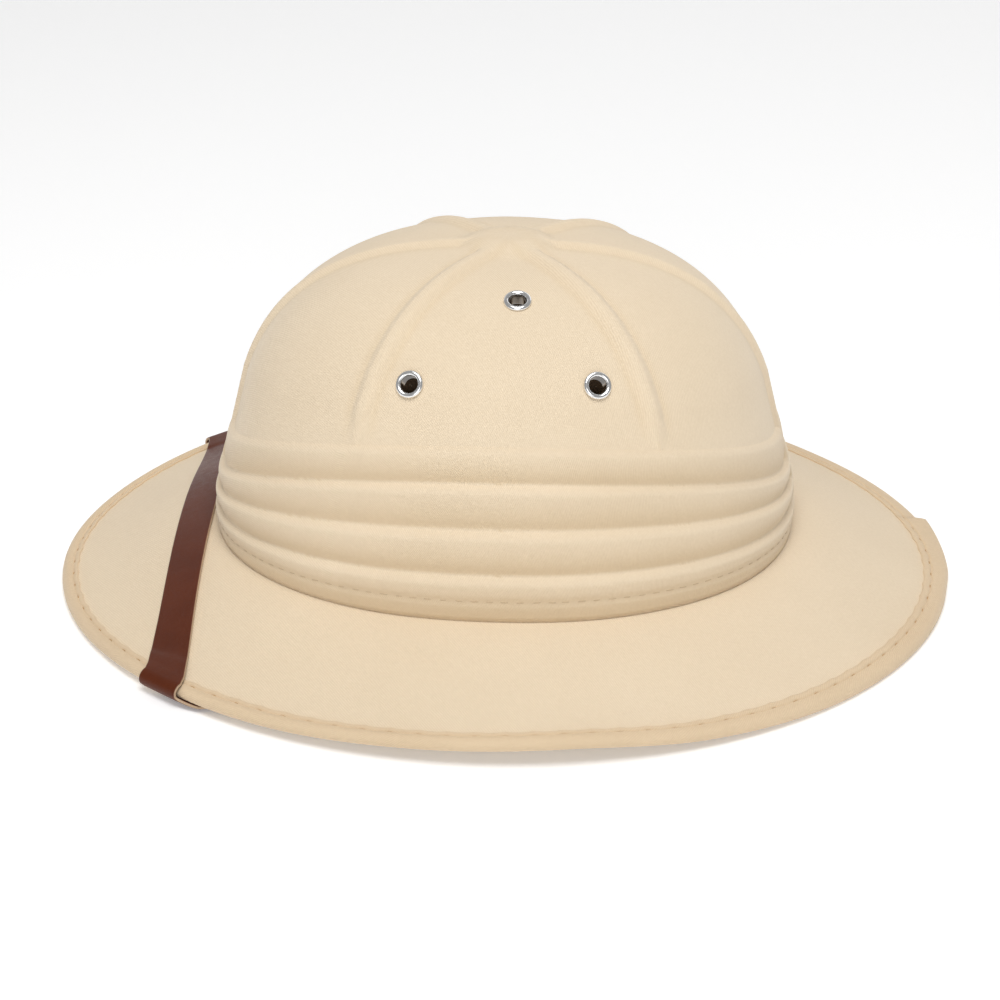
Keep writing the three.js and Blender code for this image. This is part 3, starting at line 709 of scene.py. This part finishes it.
def rim_rise(angle):
    """Height of the rim's underside: a smooth curve through the table's rows."""
    turn = np.abs(np.degrees(np.arctan2(np.sin(angle), np.cos(angle))))
    slopes = table_slopes(RIM_RISE)
    row = np.clip(np.searchsorted(RIM_RISE[:, 0], turn) - 1, 0, len(RIM_RISE) - 2)
    span = RIM_RISE[row + 1, 0] - RIM_RISE[row, 0]
    t = (turn - RIM_RISE[row, 0]) / span
    rise = RIM_RISE[row, 1] + (RIM_RISE[row + 1, 1] - RIM_RISE[row, 1]) * t * t * (3 - 2 * t)
    return rise + slopes[row] * span * t * (1 - t) ** 2 - slopes[row + 1] * span * t * t * (1 - t)


def collar_radius(angle):
    """Outer radius of the collar, just inside the crown's wall."""
    return oval_radius(CROWN_OVAL, angle) - COLLAR_INSET


def brim_top(angle, radius):
    """Height of the brim's top cloth: a straight fall blended with a cosine one."""
    inner, outer = collar_radius(angle), oval_radius(RIM_OVAL, angle) - RIM_INSET
    out = np.clip((radius - inner) / (outer - inner), 0, 1.1)
    low = rim_rise(angle) + RIM_MIDDLE + BRIM_THICKNESS / 2
    curve = 0.5 * (1 + np.cos(math.pi * np.minimum(out, 1)))
    return low + (CROWN_FOOT - GAP - low) * ((1 - out) * (1 - BRIM_S_CURVE) + curve * BRIM_S_CURVE)


def polar(angle, radius, height):
    """Points from plan angle, radius and height."""
    return np.stack(np.broadcast_arrays(radius * np.cos(angle), radius * np.sin(angle), height), -1)


def brim_wave(angle, out):
    """A slight unevenness of the stiffened cloth, none at the collar."""
    return 0.22 * out * np.sin(4 * angle + 0.6) * np.sin(2.5 * out + angle)

# %% [markdown]
# The brim's section runs up the collar's outside, out over the top cloth, back along the underside and up
# the collar's inside. Every row of the section is a function of the plan angle.

# %% Brim mesh
BRIM_COLUMNS = 480
brim_angle = np.linspace(0, 2 * math.pi, BRIM_COLUMNS, endpoint=False)[:, None]
brim_inner, brim_outer = collar_radius(brim_angle), oval_radius(RIM_OVAL, brim_angle) - RIM_INSET
out_steps = np.linspace(0, 1, 34)[None, :]
top_radius = brim_inner + (brim_outer - brim_inner) * out_steps
top_height = brim_top(brim_angle, top_radius) + brim_wave(brim_angle, out_steps)
low_steps = out_steps[:, 1::2][:, ::-1]
low_radius = brim_inner + (brim_outer - brim_inner) * low_steps
low_height = brim_top(brim_angle, low_radius) + brim_wave(brim_angle, low_steps) - BRIM_THICKNESS
collar_top = CROWN_FOOT + COLLAR_HEIGHT
throat = brim_inner - COLLAR_THICKNESS
throat_low = brim_top(brim_angle, brim_inner) - BRIM_THICKNESS
brim_grid = np.concatenate([
    polar(brim_angle, brim_inner, collar_top - 0.4),
    polar(brim_angle, brim_inner, collar_top - 4.0),
    polar(brim_angle, brim_inner, CROWN_FOOT + 0.6),
    polar(brim_angle, top_radius, top_height)[:, 1:],
    polar(brim_angle, low_radius, low_height),
    polar(brim_angle, throat + 1.0, throat_low - 0.1),
    polar(brim_angle, throat, throat_low + 0.9),
    polar(brim_angle, throat, collar_top - 4.0),
    polar(brim_angle, throat, collar_top - 0.4),
    polar(brim_angle, throat + COLLAR_THICKNESS / 2, collar_top),
], axis=1)
brim_uv = brim_grid[..., :2] * MM
brim_cloth = make_mesh("brim_cloth", brim_grid,
                       grid_faces(BRIM_COLUMNS, brim_grid.shape[1], True, True), brim_uv)
finish_piece(brim_cloth, helmet_cloth, ["brim"])

# %% [markdown]
# ## Binding
# A folded tape is sewn over the rim. Its stitches are long, and each one pulls the tape in, so the tape
# puffs between them and its inner edge is gently scalloped. The section is an outer and an inner face
# carried round the rim; at the back the tape's end laps over itself and stands off a little.

# %% Binding mesh
LAP = dict(start=-5.0, end=14.2, finish=14.8, stand_off=3.4, thickness=0.8)


def rim_lengths(angle):
    """Running length along the rim at each of a closed ring of plan angles, and the whole length."""
    rim = polar(angle, oval_radius(RIM_OVAL, angle), rim_rise(angle))
    step = np.linalg.norm(np.roll(rim, -1, axis=0) - rim, axis=-1)
    return np.concatenate([[0], np.cumsum(step)[:-1]]), step.sum()


def lap_stand_off(angle):
    """How far the lapped end stands out: a layer's thickness, growing like a straight flap."""
    turn = np.degrees(np.arctan2(np.sin(angle), np.cos(angle)))
    along = np.clip((turn - LAP["start"]) / (LAP["end"] - LAP["start"]), 0, 1)
    drop = 1 - np.clip((turn - LAP["end"]) / (LAP["finish"] - LAP["end"]), 0, 1)
    inside = (turn > LAP["start"]) & (turn < LAP["finish"])
    spread = LAP["thickness"] * np.minimum(1, along * 4) + (LAP["stand_off"] - LAP["thickness"]) * along ** 2
    return np.where(inside, drop * spread, 0)


print("rim length:", rim_lengths(np.linspace(0, 2 * math.pi, 2000, endpoint=False))[1], "mm")

# %% [markdown]
# The section starts at the tape's inner edge, crosses the sewn groove, puffs up, rolls round the rim and
# returns underneath. Towards the back the tape is wider, because its end was turned in there by hand.
# Its depth is a Gaussian dip along the groove, deepest at each stitch.

# %% Binding section
BINDING_COLUMNS = 1176
STITCH_COUNT = 98
GROOVE_OFFSETS = np.array([1.6, 1.1, 0.75, 0.5, 0.3, 0.15, 0, -0.15, -0.3, -0.5, -0.75, -1.1])
TAPE_TOP = 0.75
TAPE = dict(groove=4.5, groove_back=1.7, bow=0.45, edge=1.9, edge_back=1.0)
TAPE_ROLL = ((2.4, 4.62), (1.5, 4.3), (0.85, 3.9), (0.4, 3.35), (0.1, 2.7), (0, 2.1),
             (0.08, 1.4), (0.3, 0.8), (0.7, 0.3), (1.3, 0.04), (2.2, 0), (3.6, 0))
TAPE_LINING = ((3.6, 1.6), (2.0, 2.2), (3.6, 3.3))


def tape_widening(angle):
    """1 at the back, where the tape's end is turned in, falling to 0 at the sides."""
    turn = np.abs(np.degrees(np.arctan2(np.sin(angle), np.cos(angle))))
    return 1 - smoothstep(turn, 25, 80)


def groove_inward(angle, phase):
    """Distance of the sewn groove from the rim: it bows outwards a little between stitches."""
    bow = np.abs(np.sin(math.pi * phase))
    return TAPE["groove"] + TAPE["groove_back"] * tape_widening(angle) - TAPE["bow"] * bow


def binding_section(angle, phase):
    """Inward distance and height over the rim's underside, for all columns and section points."""
    groove = groove_inward(angle, phase)
    edge = groove + TAPE["edge"] + TAPE["edge_back"] * tape_widening(angle)
    rim = oval_radius(RIM_OVAL, angle)
    floor = rim_rise(angle)
    tight = np.exp(-(np.sin(math.pi * phase) / 0.42) ** 2)
    inward, up = [], []

    def row(distance, height):
        """One point of the section, for every column."""
        inward.append(distance + 0 * floor)
        up.append(height + 0 * floor)

    def cloth(distance):
        """Height of the brim's top cloth at a distance in from the rim."""
        out = (rim - distance - collar_radius(angle)) / (rim - RIM_INSET - collar_radius(angle))
        return brim_top(angle, rim - distance) + brim_wave(angle, np.clip(out, 0, 1)) - floor

    row(edge, cloth(edge) - 0.25)
    row(edge + 0.08, cloth(edge) + 0.3)
    row(edge - 0.12, cloth(edge) + 0.62)
    for offset in GROOVE_OFFSETS:
        distance = groove + offset
        dip = (0.38 + 0.34 * tight) * np.exp(-(offset / 0.34) ** 2)
        puff = 0.22 * np.exp(-((offset + 1.0) / 0.7) ** 2) * (1 - 0.45 * tight)
        row(distance, cloth(distance) + TAPE_TOP - dip + puff)
    for distance, height in TAPE_ROLL:
        squeeze = np.clip((distance - 1.2) / 2, 0, 1)
        row(distance, height + 0.12 * squeeze * (1 - tight))
    row(edge, cloth(edge) - BRIM_THICKNESS - 0.85)
    row(edge + 0.1, cloth(edge) - BRIM_THICKNESS - 0.4)
    for distance, height in TAPE_LINING:
        row(distance, height)
    return np.stack(inward, 1), np.stack(up, 1)


ring = math.radians(LAP["finish"]) + np.linspace(0, 2 * math.pi, 8000, endpoint=False)
ring_length, rim_length = rim_lengths(ring)
even_length = np.arange(BINDING_COLUMNS) / BINDING_COLUMNS * rim_length
binding_angle = np.interp(even_length, ring_length, ring)
binding_phase = even_length / rim_length * STITCH_COUNT
tape_inward, tape_up = binding_section(binding_angle, binding_phase)
stand = lap_stand_off(binding_angle)[:, None] * (1 - np.clip((tape_inward - 1) / 3, 0, 1))
tape_radius = oval_radius(RIM_OVAL, binding_angle)[:, None] - tape_inward + stand
tape_grid = polar(binding_angle[:, None], tape_radius,
                  rim_rise(binding_angle)[:, None] + tape_up)
tape_run = np.concatenate([np.zeros((BINDING_COLUMNS, 1)),
                           np.cumsum(np.linalg.norm(np.diff(tape_grid, axis=1), axis=-1), axis=1)], 1)
tape_uv = np.stack([np.broadcast_to(even_length[:, None], tape_run.shape), tape_run], -1) * MM
binding = make_mesh("rim_tape", tape_grid,
                    grid_faces(BINDING_COLUMNS, tape_grid.shape[1], True, True), tape_uv)
finish_piece(binding, tape_cloth, ["brim_binding"])

# %% [markdown]
# ## Stitches
# A stitch is a short thread that dives into the cloth at both ends. All stitches of a seam are one mesh:
# the same small tube placed by arrays, with a seeded draw for its length, drift and slant, because a
# sewing machine's stitches are never quite equal.

# %% Stitch maker
def stitch_mesh(name, centres, along, outward, length, radius, seed):
    """Bent tubes with pointed ends, one per centre, as one mesh of rings and pointed caps."""
    rng = np.random.default_rng(seed)
    count = len(centres)
    across = np.cross(outward, along)
    slant = rng.normal(0, 0.05, count)[:, None]
    along = along + slant * across
    half = 0.5 * length * (1 + rng.normal(0, 0.08, count))
    centres = centres + along * rng.normal(0, 0.05 * length, count)[:, None]
    steps = np.linspace(-1, 1, 8)
    turn = np.linspace(0, 2 * math.pi, 8, endpoint=False)
    width = radius * np.sqrt(np.clip(1.04 - steps ** 2, 0.02, 1))
    sink = -1.3 * radius * steps ** 4
    middle = (centres[:, None] + along[:, None] * (half[:, None] * steps)[..., None]
              + outward[:, None] * sink[None, :, None])
    ring = (np.cos(turn)[None, None, :, None] * across[:, None, None]
            + np.sin(turn)[None, None, :, None] * outward[:, None, None])
    points = middle[:, :, None] + ring * width[None, :, None, None]
    base = grid_faces(8, 8, False, True)
    faces = (base[None] + (np.arange(count) * 64)[:, None, None]).reshape(-1, 4)
    ends = []
    for first in (0, 56):
        loop = first + np.arange(8)
        loop = loop[::-1] if first == 0 else loop
        ends.append(np.stack([loop[[0, 1, 2, 3]], loop[[0, 3, 4, 7]], loop[[4, 5, 6, 7]]]))
    caps = (np.concatenate(ends)[None] + (np.arange(count) * 64)[:, None, None]).reshape(-1, 4)
    # Painted shade: the ends of each stitch, where it sinks into its needle holes, are marked to be
    # darkened.
    painted_hole_shade = np.broadcast_to((steps ** 4)[None, :, None], points.shape[:3])
    return make_mesh(name, points, np.concatenate([faces[:, ::-1], caps]), attributes=dict(painted_hole_shade=painted_hole_shade))


def thread_material(name, light, dark):
    """Spun thread: dull, uneven in tone, and darkened by painted shade at its ends, where it dives into its
    needle holes.
    """
    g = Graph(name)
    place = g.place()
    fibre = g.noise(place, 2600, 3)
    spun = g.mix(fibre, dark, light)
    # Painted shade: the thread turns dark brown at its ends, in its needle holes.
    painted_hole_shade = g.mark("painted_hole_shade")
    colour = g.mix(painted_hole_shade, spun, (0.16, 0.09, 0.045))
    g.feed("Base Color", colour)
    normal = g.bump(fibre, 0.00008, 0.6)
    g.feed("Normal", normal)
    g.values({
        "Roughness": 0.85,
        "Sheen Weight": 0.2,
    })
    return g.material

# %% [markdown]
# The foot seam holds the crown's cloth to the brim. It runs a little under half-way from the crown's
# foot up to the lowest crease, so it climbs at the sides with the pleats.

# %% Foot seam and rim seam
foot_thread = thread_material("foot_thread", (0.74, 0.58, 0.39), (0.52, 0.38, 0.22))
rim_thread = thread_material("rim_thread", (0.62, 0.40, 0.19), (0.42, 0.24, 0.10))


def even_places(path, pitch):
    """Points and directions at an even spacing along a closed path of points."""
    after = np.roll(path, -1, axis=0)
    step = np.linalg.norm(after - path, axis=-1)
    length = np.concatenate([[0], np.cumsum(step)])
    count = int(round(length[-1] / pitch))
    stops = (np.arange(count) + 0.5) / count * length[-1]
    closed = np.concatenate([path, path[:1]])
    points = np.stack([np.interp(stops, length, closed[:, k]) for k in range(3)], -1)
    ahead = np.stack([np.interp(stops + 0.5, length, closed[:, k]) for k in range(3)], -1)
    along = ahead - points
    return points, along / np.linalg.norm(along, axis=-1, keepdims=True)


def seam_height(angle):
    """Height of the foot seam over the crown's foot."""
    return SEAM_SHARE * crease_heights(angle)[..., 3]


seam_angle = np.linspace(0, 2 * math.pi, 4000, endpoint=False)
seam_path = crown_surface(seam_height(seam_angle)[None], seam_angle, 0)[0]
FOOT_PITCH = 5.5
foot_points, foot_along = even_places(seam_path, FOOT_PITCH)
foot_angle = np.arctan2(foot_points[:, 1], foot_points[:, 0])
foot_out = dome_normal(foot_angle, seam_height(foot_angle))
foot_stitches = stitch_mesh("foot_stitches", foot_points + 0.04 * foot_out, foot_along, foot_out,
                            length=3.6, radius=0.27, seed=11)
finish_piece(foot_stitches, foot_thread)

groove_row = 3 + int(np.argmin(np.abs(GROOVE_OFFSETS)))
groove_line = tape_grid[:, groove_row]
pick = np.arange(STITCH_COUNT) * (BINDING_COLUMNS // STITCH_COUNT)
rim_along = np.roll(groove_line, -2, axis=0)[pick] - np.roll(groove_line, 2, axis=0)[pick]
rim_along /= np.linalg.norm(rim_along, axis=-1, keepdims=True)
rim_across = tape_grid[:, groove_row + 3][pick] - tape_grid[:, groove_row - 3][pick]
rim_out = np.cross(rim_across, rim_along)
rim_out /= np.linalg.norm(rim_out, axis=-1, keepdims=True)
rim_out *= np.sign(rim_out[:, 2:])
rim_stitches = stitch_mesh("rim_stitches", groove_line[pick] + 0.08 * rim_out, rim_along, rim_out,
                           length=3.3, radius=0.32, seed=12)
finish_piece(rim_stitches, rim_thread)

# %% [markdown]
# ## Chin strap
# The strap is a flat band with softly rounded edges. It lies across the front of the brim, folds round
# the rim on both sides and runs straight back under the brim, where its ends are sewn. Each station has
# a middle point, an outward direction and a half-width; the section is a rounded rectangle on them.

# %% Strap route
STRAP_WIDTH, STRAP_THICKNESS = 14.4, 1.1
STRAP_NEAR, STRAP_FAR = np.array([-117, -110.2, 0]), np.array([-122.5, 105.4, 0])
STRAP_MIDDLE = np.array([-119.75, 0, 0])
STRAP_END_X = -26.0
STRAP_CLEARANCE = 0.12
SHEAR_RUN, LEVEL_RUN = 40, 45
CUT_EDGE = (6.95, 7.1)
TAPE_OVER, TAPE_UNDER = ((1.4, 4.4), (6.4, 5.0)), ((3.6, 0.0), (6.4, 1.05))
FOLD = dict(inward=2.9, up=2.35, width=3.75, height=3.15, slope=13)


def unit(vector):
    """Vectors scaled to length one."""
    return vector / np.linalg.norm(vector, axis=-1, keepdims=True)


def brim_normal(place):
    """Upward normal of the brim's top, from height differences 4 mm apart."""
    def height(x, y):
        """Height of the brim's top at a plan point."""
        return brim_top(np.arctan2(y, x), np.hypot(x, y))
    x, y = place[:, 0], place[:, 1]
    slope_x = (height(x + 2, y) - height(x - 2, y)) / 4
    slope_y = (height(x, y + 2) - height(x, y - 2)) / 4
    return unit(np.stack([-slope_x, -slope_y, np.ones_like(x)], -1))


def surface_height(x, y, face):
    """Height of the brim or tape at a plan point: the top for face 1, the underside for face -1."""
    angle, radius = np.arctan2(y, x), np.hypot(x, y)
    inward = oval_radius(RIM_OVAL, angle) - radius
    cloth = brim_top(angle, radius) - (BRIM_THICKNESS if face < 0 else 0)
    rows = TAPE_OVER if face > 0 else TAPE_UNDER
    along = np.clip((inward - rows[0][0]) / (rows[1][0] - rows[0][0]), 0, 1)
    tape = rim_rise(angle) + rows[0][1] + (rows[1][1] - rows[0][1]) * along
    height = np.where(inward > rows[1][0], cloth, tape)
    return np.where(inward < 0, -face * 1e3, height)


def laid_stations(place, heading, face, level, shear):
    """Stations just clear of the brim under the whole width; level flattens and shear slants them."""
    up = np.array([0, 0, 1.0])
    normal = unit(brim_normal(place) * (1 - level[:, None]) + up * level[:, None]) * face
    ahead = unit(heading - normal * (normal @ heading)[:, None])
    side = np.cross(normal, ahead) * (STRAP_WIDTH / 2) + ahead * shear[:, None]
    height = np.full(len(place), -1e3)
    for across in (-1, -0.5, 0, 0.5, 1):
        for run in (-4, 0, 4):
            shift = side * across + ahead * run
            surface = surface_height(place[:, 0] + shift[:, 0], place[:, 1] + shift[:, 1], face)
            height = np.maximum(height, face * (surface - shift[:, 2]))
    window = np.hanning(7) / np.hanning(7).sum()
    smooth = np.convolve(np.pad(height, 3, mode="edge"), window, mode="valid")
    clear = (STRAP_CLEARANCE + STRAP_THICKNESS / 2) / np.abs(normal[:, 2])
    point = np.stack([place[:, 0], place[:, 1], face * (np.maximum(smooth, height - 0.1) + clear)], -1)
    return point, normal, side


def strap_half(end):
    """Stations from the middle of the front brim, out over the rim and back under the brim."""
    arriving = unit(end - STRAP_MIDDLE)
    angle = math.atan2(end[1], end[0])
    around = np.array([angle - 1e-3, angle + 1e-3])
    rim = polar(around, oval_radius(RIM_OVAL, around), rim_rise(around))
    along = unit(rim[1] - rim[0])
    out = unit(np.array([along[1], -along[0], 0]))
    up = unit(np.cross(out, along))
    slide, reach = arriving @ along, arriving @ out
    centre = np.array([end[0], end[1], float(rim_rise(np.array([angle]))[0]) + FOLD["up"]])
    centre = centre - arriving * FOLD["inward"] / reach
    slant = STRAP_WIDTH / 2 * slide / reach
    length = math.hypot(*(centre - STRAP_MIDDLE)[:2])
    run = np.linspace(0, length, 66)[:-2]
    shear = slant * smoothstep(run, length - SHEAR_RUN, length)
    top = laid_stations(STRAP_MIDDLE + arriving * run[:, None], arriving, 1, np.zeros_like(run), shear)
    turn = np.linspace(math.radians(FOLD["slope"]), math.pi, 26)[:, None]
    pitch = (FOLD["width"] + FOLD["height"]) / 2 * slide / reach
    slip = pitch * math.pi * smoothstep(turn, 0.6 * math.pi, math.pi)
    fold_point = (centre + along * slip + out * FOLD["width"] * np.sin(turn)
                  + up * FOLD["height"] * np.cos(turn))
    fold_out = unit(out * np.sin(turn) / FOLD["width"] + up * np.cos(turn) / FOLD["height"])
    fold_side = np.broadcast_to(along * STRAP_WIDTH / 2 / reach, fold_point.shape)
    start = centre + along * pitch * math.pi
    back = along * slide - out * reach
    run = np.linspace(0, (STRAP_END_X - start[0]) / back[0], 44)[2:]
    level = 1 - smoothstep(run, 0, LEVEL_RUN)
    shear = slant * (1 - smoothstep(run, 0, SHEAR_RUN))
    under = laid_stations(start + back * run[:, None], back, -1, level, shear)
    folded = (fold_point, fold_out, fold_side)
    return [np.concatenate([top[k], folded[k], under[k]]) for k in range(3)]


near_half, far_half = strap_half(STRAP_NEAR), strap_half(STRAP_FAR)
strap_point = np.concatenate([near_half[0][1:][::-1], far_half[0]])
strap_out = np.concatenate([near_half[1][1:][::-1], far_half[1]])
strap_side = np.concatenate([-near_half[2][1:][::-1], far_half[2]])
strap_run = np.concatenate([[0], np.cumsum(np.linalg.norm(np.diff(strap_point, axis=0), axis=-1))])
print(f"strap length {strap_run[-1]:.0f} mm")

# %% [markdown]
# The strap's section: a face with a slight crown, two cut edges with small rounded corners, and a back.
# Brown imitation leather is a glossy film on a pale cloth backing, so its cut edges show lighter.

# %% Strap mesh and finish
def strap_section():
    """Points across and through the band, once round: face, edge, back and the other edge."""
    turns = np.linspace(0, math.pi / 2, 4)
    edge = 0.4
    face = np.linspace(-0.9, 0.9, 9)
    wide, thick = STRAP_WIDTH / 2, STRAP_THICKNESS / 2

    def corner(side, level, turns):
        """A quarter turn round one corner of the band."""
        return [(side * (wide - edge + edge * math.sin(a)), level * (thick - edge * (1 - math.cos(a))))
                for a in turns]

    points = [(x * (wide - edge), thick * (1 + 0.1 * (1 - x * x))) for x in face]
    points += corner(1, 1, turns) + corner(1, -1, turns[::-1])
    points += [(-x * (wide - edge), -thick) for x in face[1:-1:2]]
    points += corner(-1, -1, turns) + corner(-1, 1, turns[::-1])
    return np.array(points)


section = strap_section()
width_share = section[:, 0] / (STRAP_WIDTH / 2)
strap_grid = (strap_point[:, None] + strap_side[:, None] * width_share[None, :, None]
              + strap_out[:, None] * section[None, :, 1:])
strap_faces = grid_faces(len(strap_point), len(section), False, True)
cap_size = len(section)
strap_uv = np.stack(np.broadcast_arrays(strap_run[:, None], section[None, :, 0]), -1) * MM
cut_mark = np.broadcast_to(smoothstep(np.abs(section[:, 0]), *CUT_EDGE), strap_grid.shape[:2])
strap = make_mesh("strap_band", strap_grid, strap_faces, strap_uv, dict(cut=cut_mark))


def close_ends(piece, size):
    """Fill the two open ends of a tube of rings and turn every face outwards."""
    shell = bmesh.new()
    shell.from_mesh(piece.data)
    shell.verts.ensure_lookup_table()
    shell.faces.new([shell.verts[k] for k in range(size)])
    shell.faces.new([shell.verts[k] for k in range(len(shell.verts) - size, len(shell.verts))])
    bmesh.ops.recalc_face_normals(shell, faces=shell.faces)
    shell.to_mesh(piece.data)
    shell.free()


close_ends(strap, cap_size)


def leather_material():
    """Brown film with fine pores and soft creases across it, and a pale cut edge."""
    g = Graph("brown_strap")
    place = g.place()
    pores = g.add("ShaderNodeTexVoronoi", feature="DISTANCE_TO_EDGE")
    pores.inputs["Scale"].default_value = 1500
    g.tree.links.new(place[0].outputs["Object"], pores.inputs["Vector"])
    cloud = g.noise(place, 60, 4)
    streak = g.noise(place, 400, 3)
    film = g.mix(cloud, (0.066, 0.0125, 0.0035), (0.118, 0.025, 0.0075))
    film = g.mix(g.math("MULTIPLY", streak, 0.35), film, (0.15, 0.038, 0.014))
    cut = g.mark("cut")
    colour = g.mix(cut, film, (0.50, 0.36, 0.24))
    g.feed("Base Color", colour)
    rough = g.math("MULTIPLY_ADD", streak, 0.2, 0.26)
    g.feed("Roughness", rough)
    grain = g.math("MINIMUM", g.math("MULTIPLY", (pores, "Distance"), 4.0), 1.0)
    broad = g.bump(cloud, 0.0004, 0.35)
    normal = g.bump(grain, 0.00005, 0.4, broad)
    g.feed("Normal", normal)
    g.values({"Specular IOR Level": 0.14})
    return g.material


finish_piece(strap, leather_material(), ["chin_strap"])

# %% [markdown]
# ## Floor and light
# A pale seamless floor runs up into the backdrop. A large soft light overhead does most of the work, with
# a weaker one in front and a faint one behind, so the pleats shade softly and the brim stays bright.

# %% Studio
def floor_material():
    """A matt, nearly white paper."""
    g = Graph("pale_paper")
    g.values({
        "Base Color": (0.93, 0.93, 0.93, 1),
        "Roughness": 0.9,
        "Specular IOR Level": 0.1,
        "Emission Color": (1, 1, 1, 1),
        "Emission Strength": 0.2,
    })
    return g.material


def make_floor():
    """A floor sheet that curves up far behind the helmet, 0.2 mm below its rest."""
    turn = np.linspace(0, math.pi / 2, 16)
    reach, bend = 6000.0, 1500.0
    y = np.concatenate([[-reach], 2500 + bend * np.sin(turn), [2500 + bend]])
    z = np.concatenate([[0], bend * (1 - np.cos(turn)), [reach]]) - 0.2
    x = np.array([-reach, reach])
    grid = np.stack(np.broadcast_arrays(x[None, :], y[:, None], z[:, None]), -1)
    floor = make_mesh("paper_floor", grid, grid_faces(len(y), 2, False, False)[:, ::-1])
    floor.data.materials.append(floor_material())
    return floor


def soft_light(name, place, aim, size, power):
    """A square area light at place, in metres, pointing at aim."""
    data = bpy.data.lights.new(name, "AREA")
    data.shape = "SQUARE"
    data.size = size
    data.energy = power
    lamp = bpy.data.objects.new(name, data)
    lamp.location = place
    direction = np.array(aim) - np.array(place)
    flat = math.hypot(direction[0], direction[1])
    lamp.rotation_euler = (math.atan2(flat, -direction[2]), 0, math.atan2(-direction[0], direction[1]))
    bpy.context.scene.collection.objects.link(lamp)
    return lamp


LIGHT_AIM = (0, 0, 0.05)
WORLD_STRENGTH = 0.34
floor = make_floor()
lamps = [
    soft_light("overhead", (0.03, -0.55, 1.6), LIGHT_AIM, size=0.9, power=16),
    soft_light("front", (0.0, -2.0, 0.9), LIGHT_AIM, size=1.0, power=7),
    soft_light("back_fill", (0.9, 1.6, 1.1), LIGHT_AIM, size=1.4, power=3),
]
world = bpy.data.worlds.new("studio")
world.use_nodes = True
world.node_tree.nodes["Background"].inputs["Color"].default_value = (1, 1, 1, 1)
world.node_tree.nodes["Background"].inputs["Strength"].default_value = WORLD_STRENGTH
bpy.context.scene.world = world
bpy.context.scene.view_settings.view_transform = "Standard"
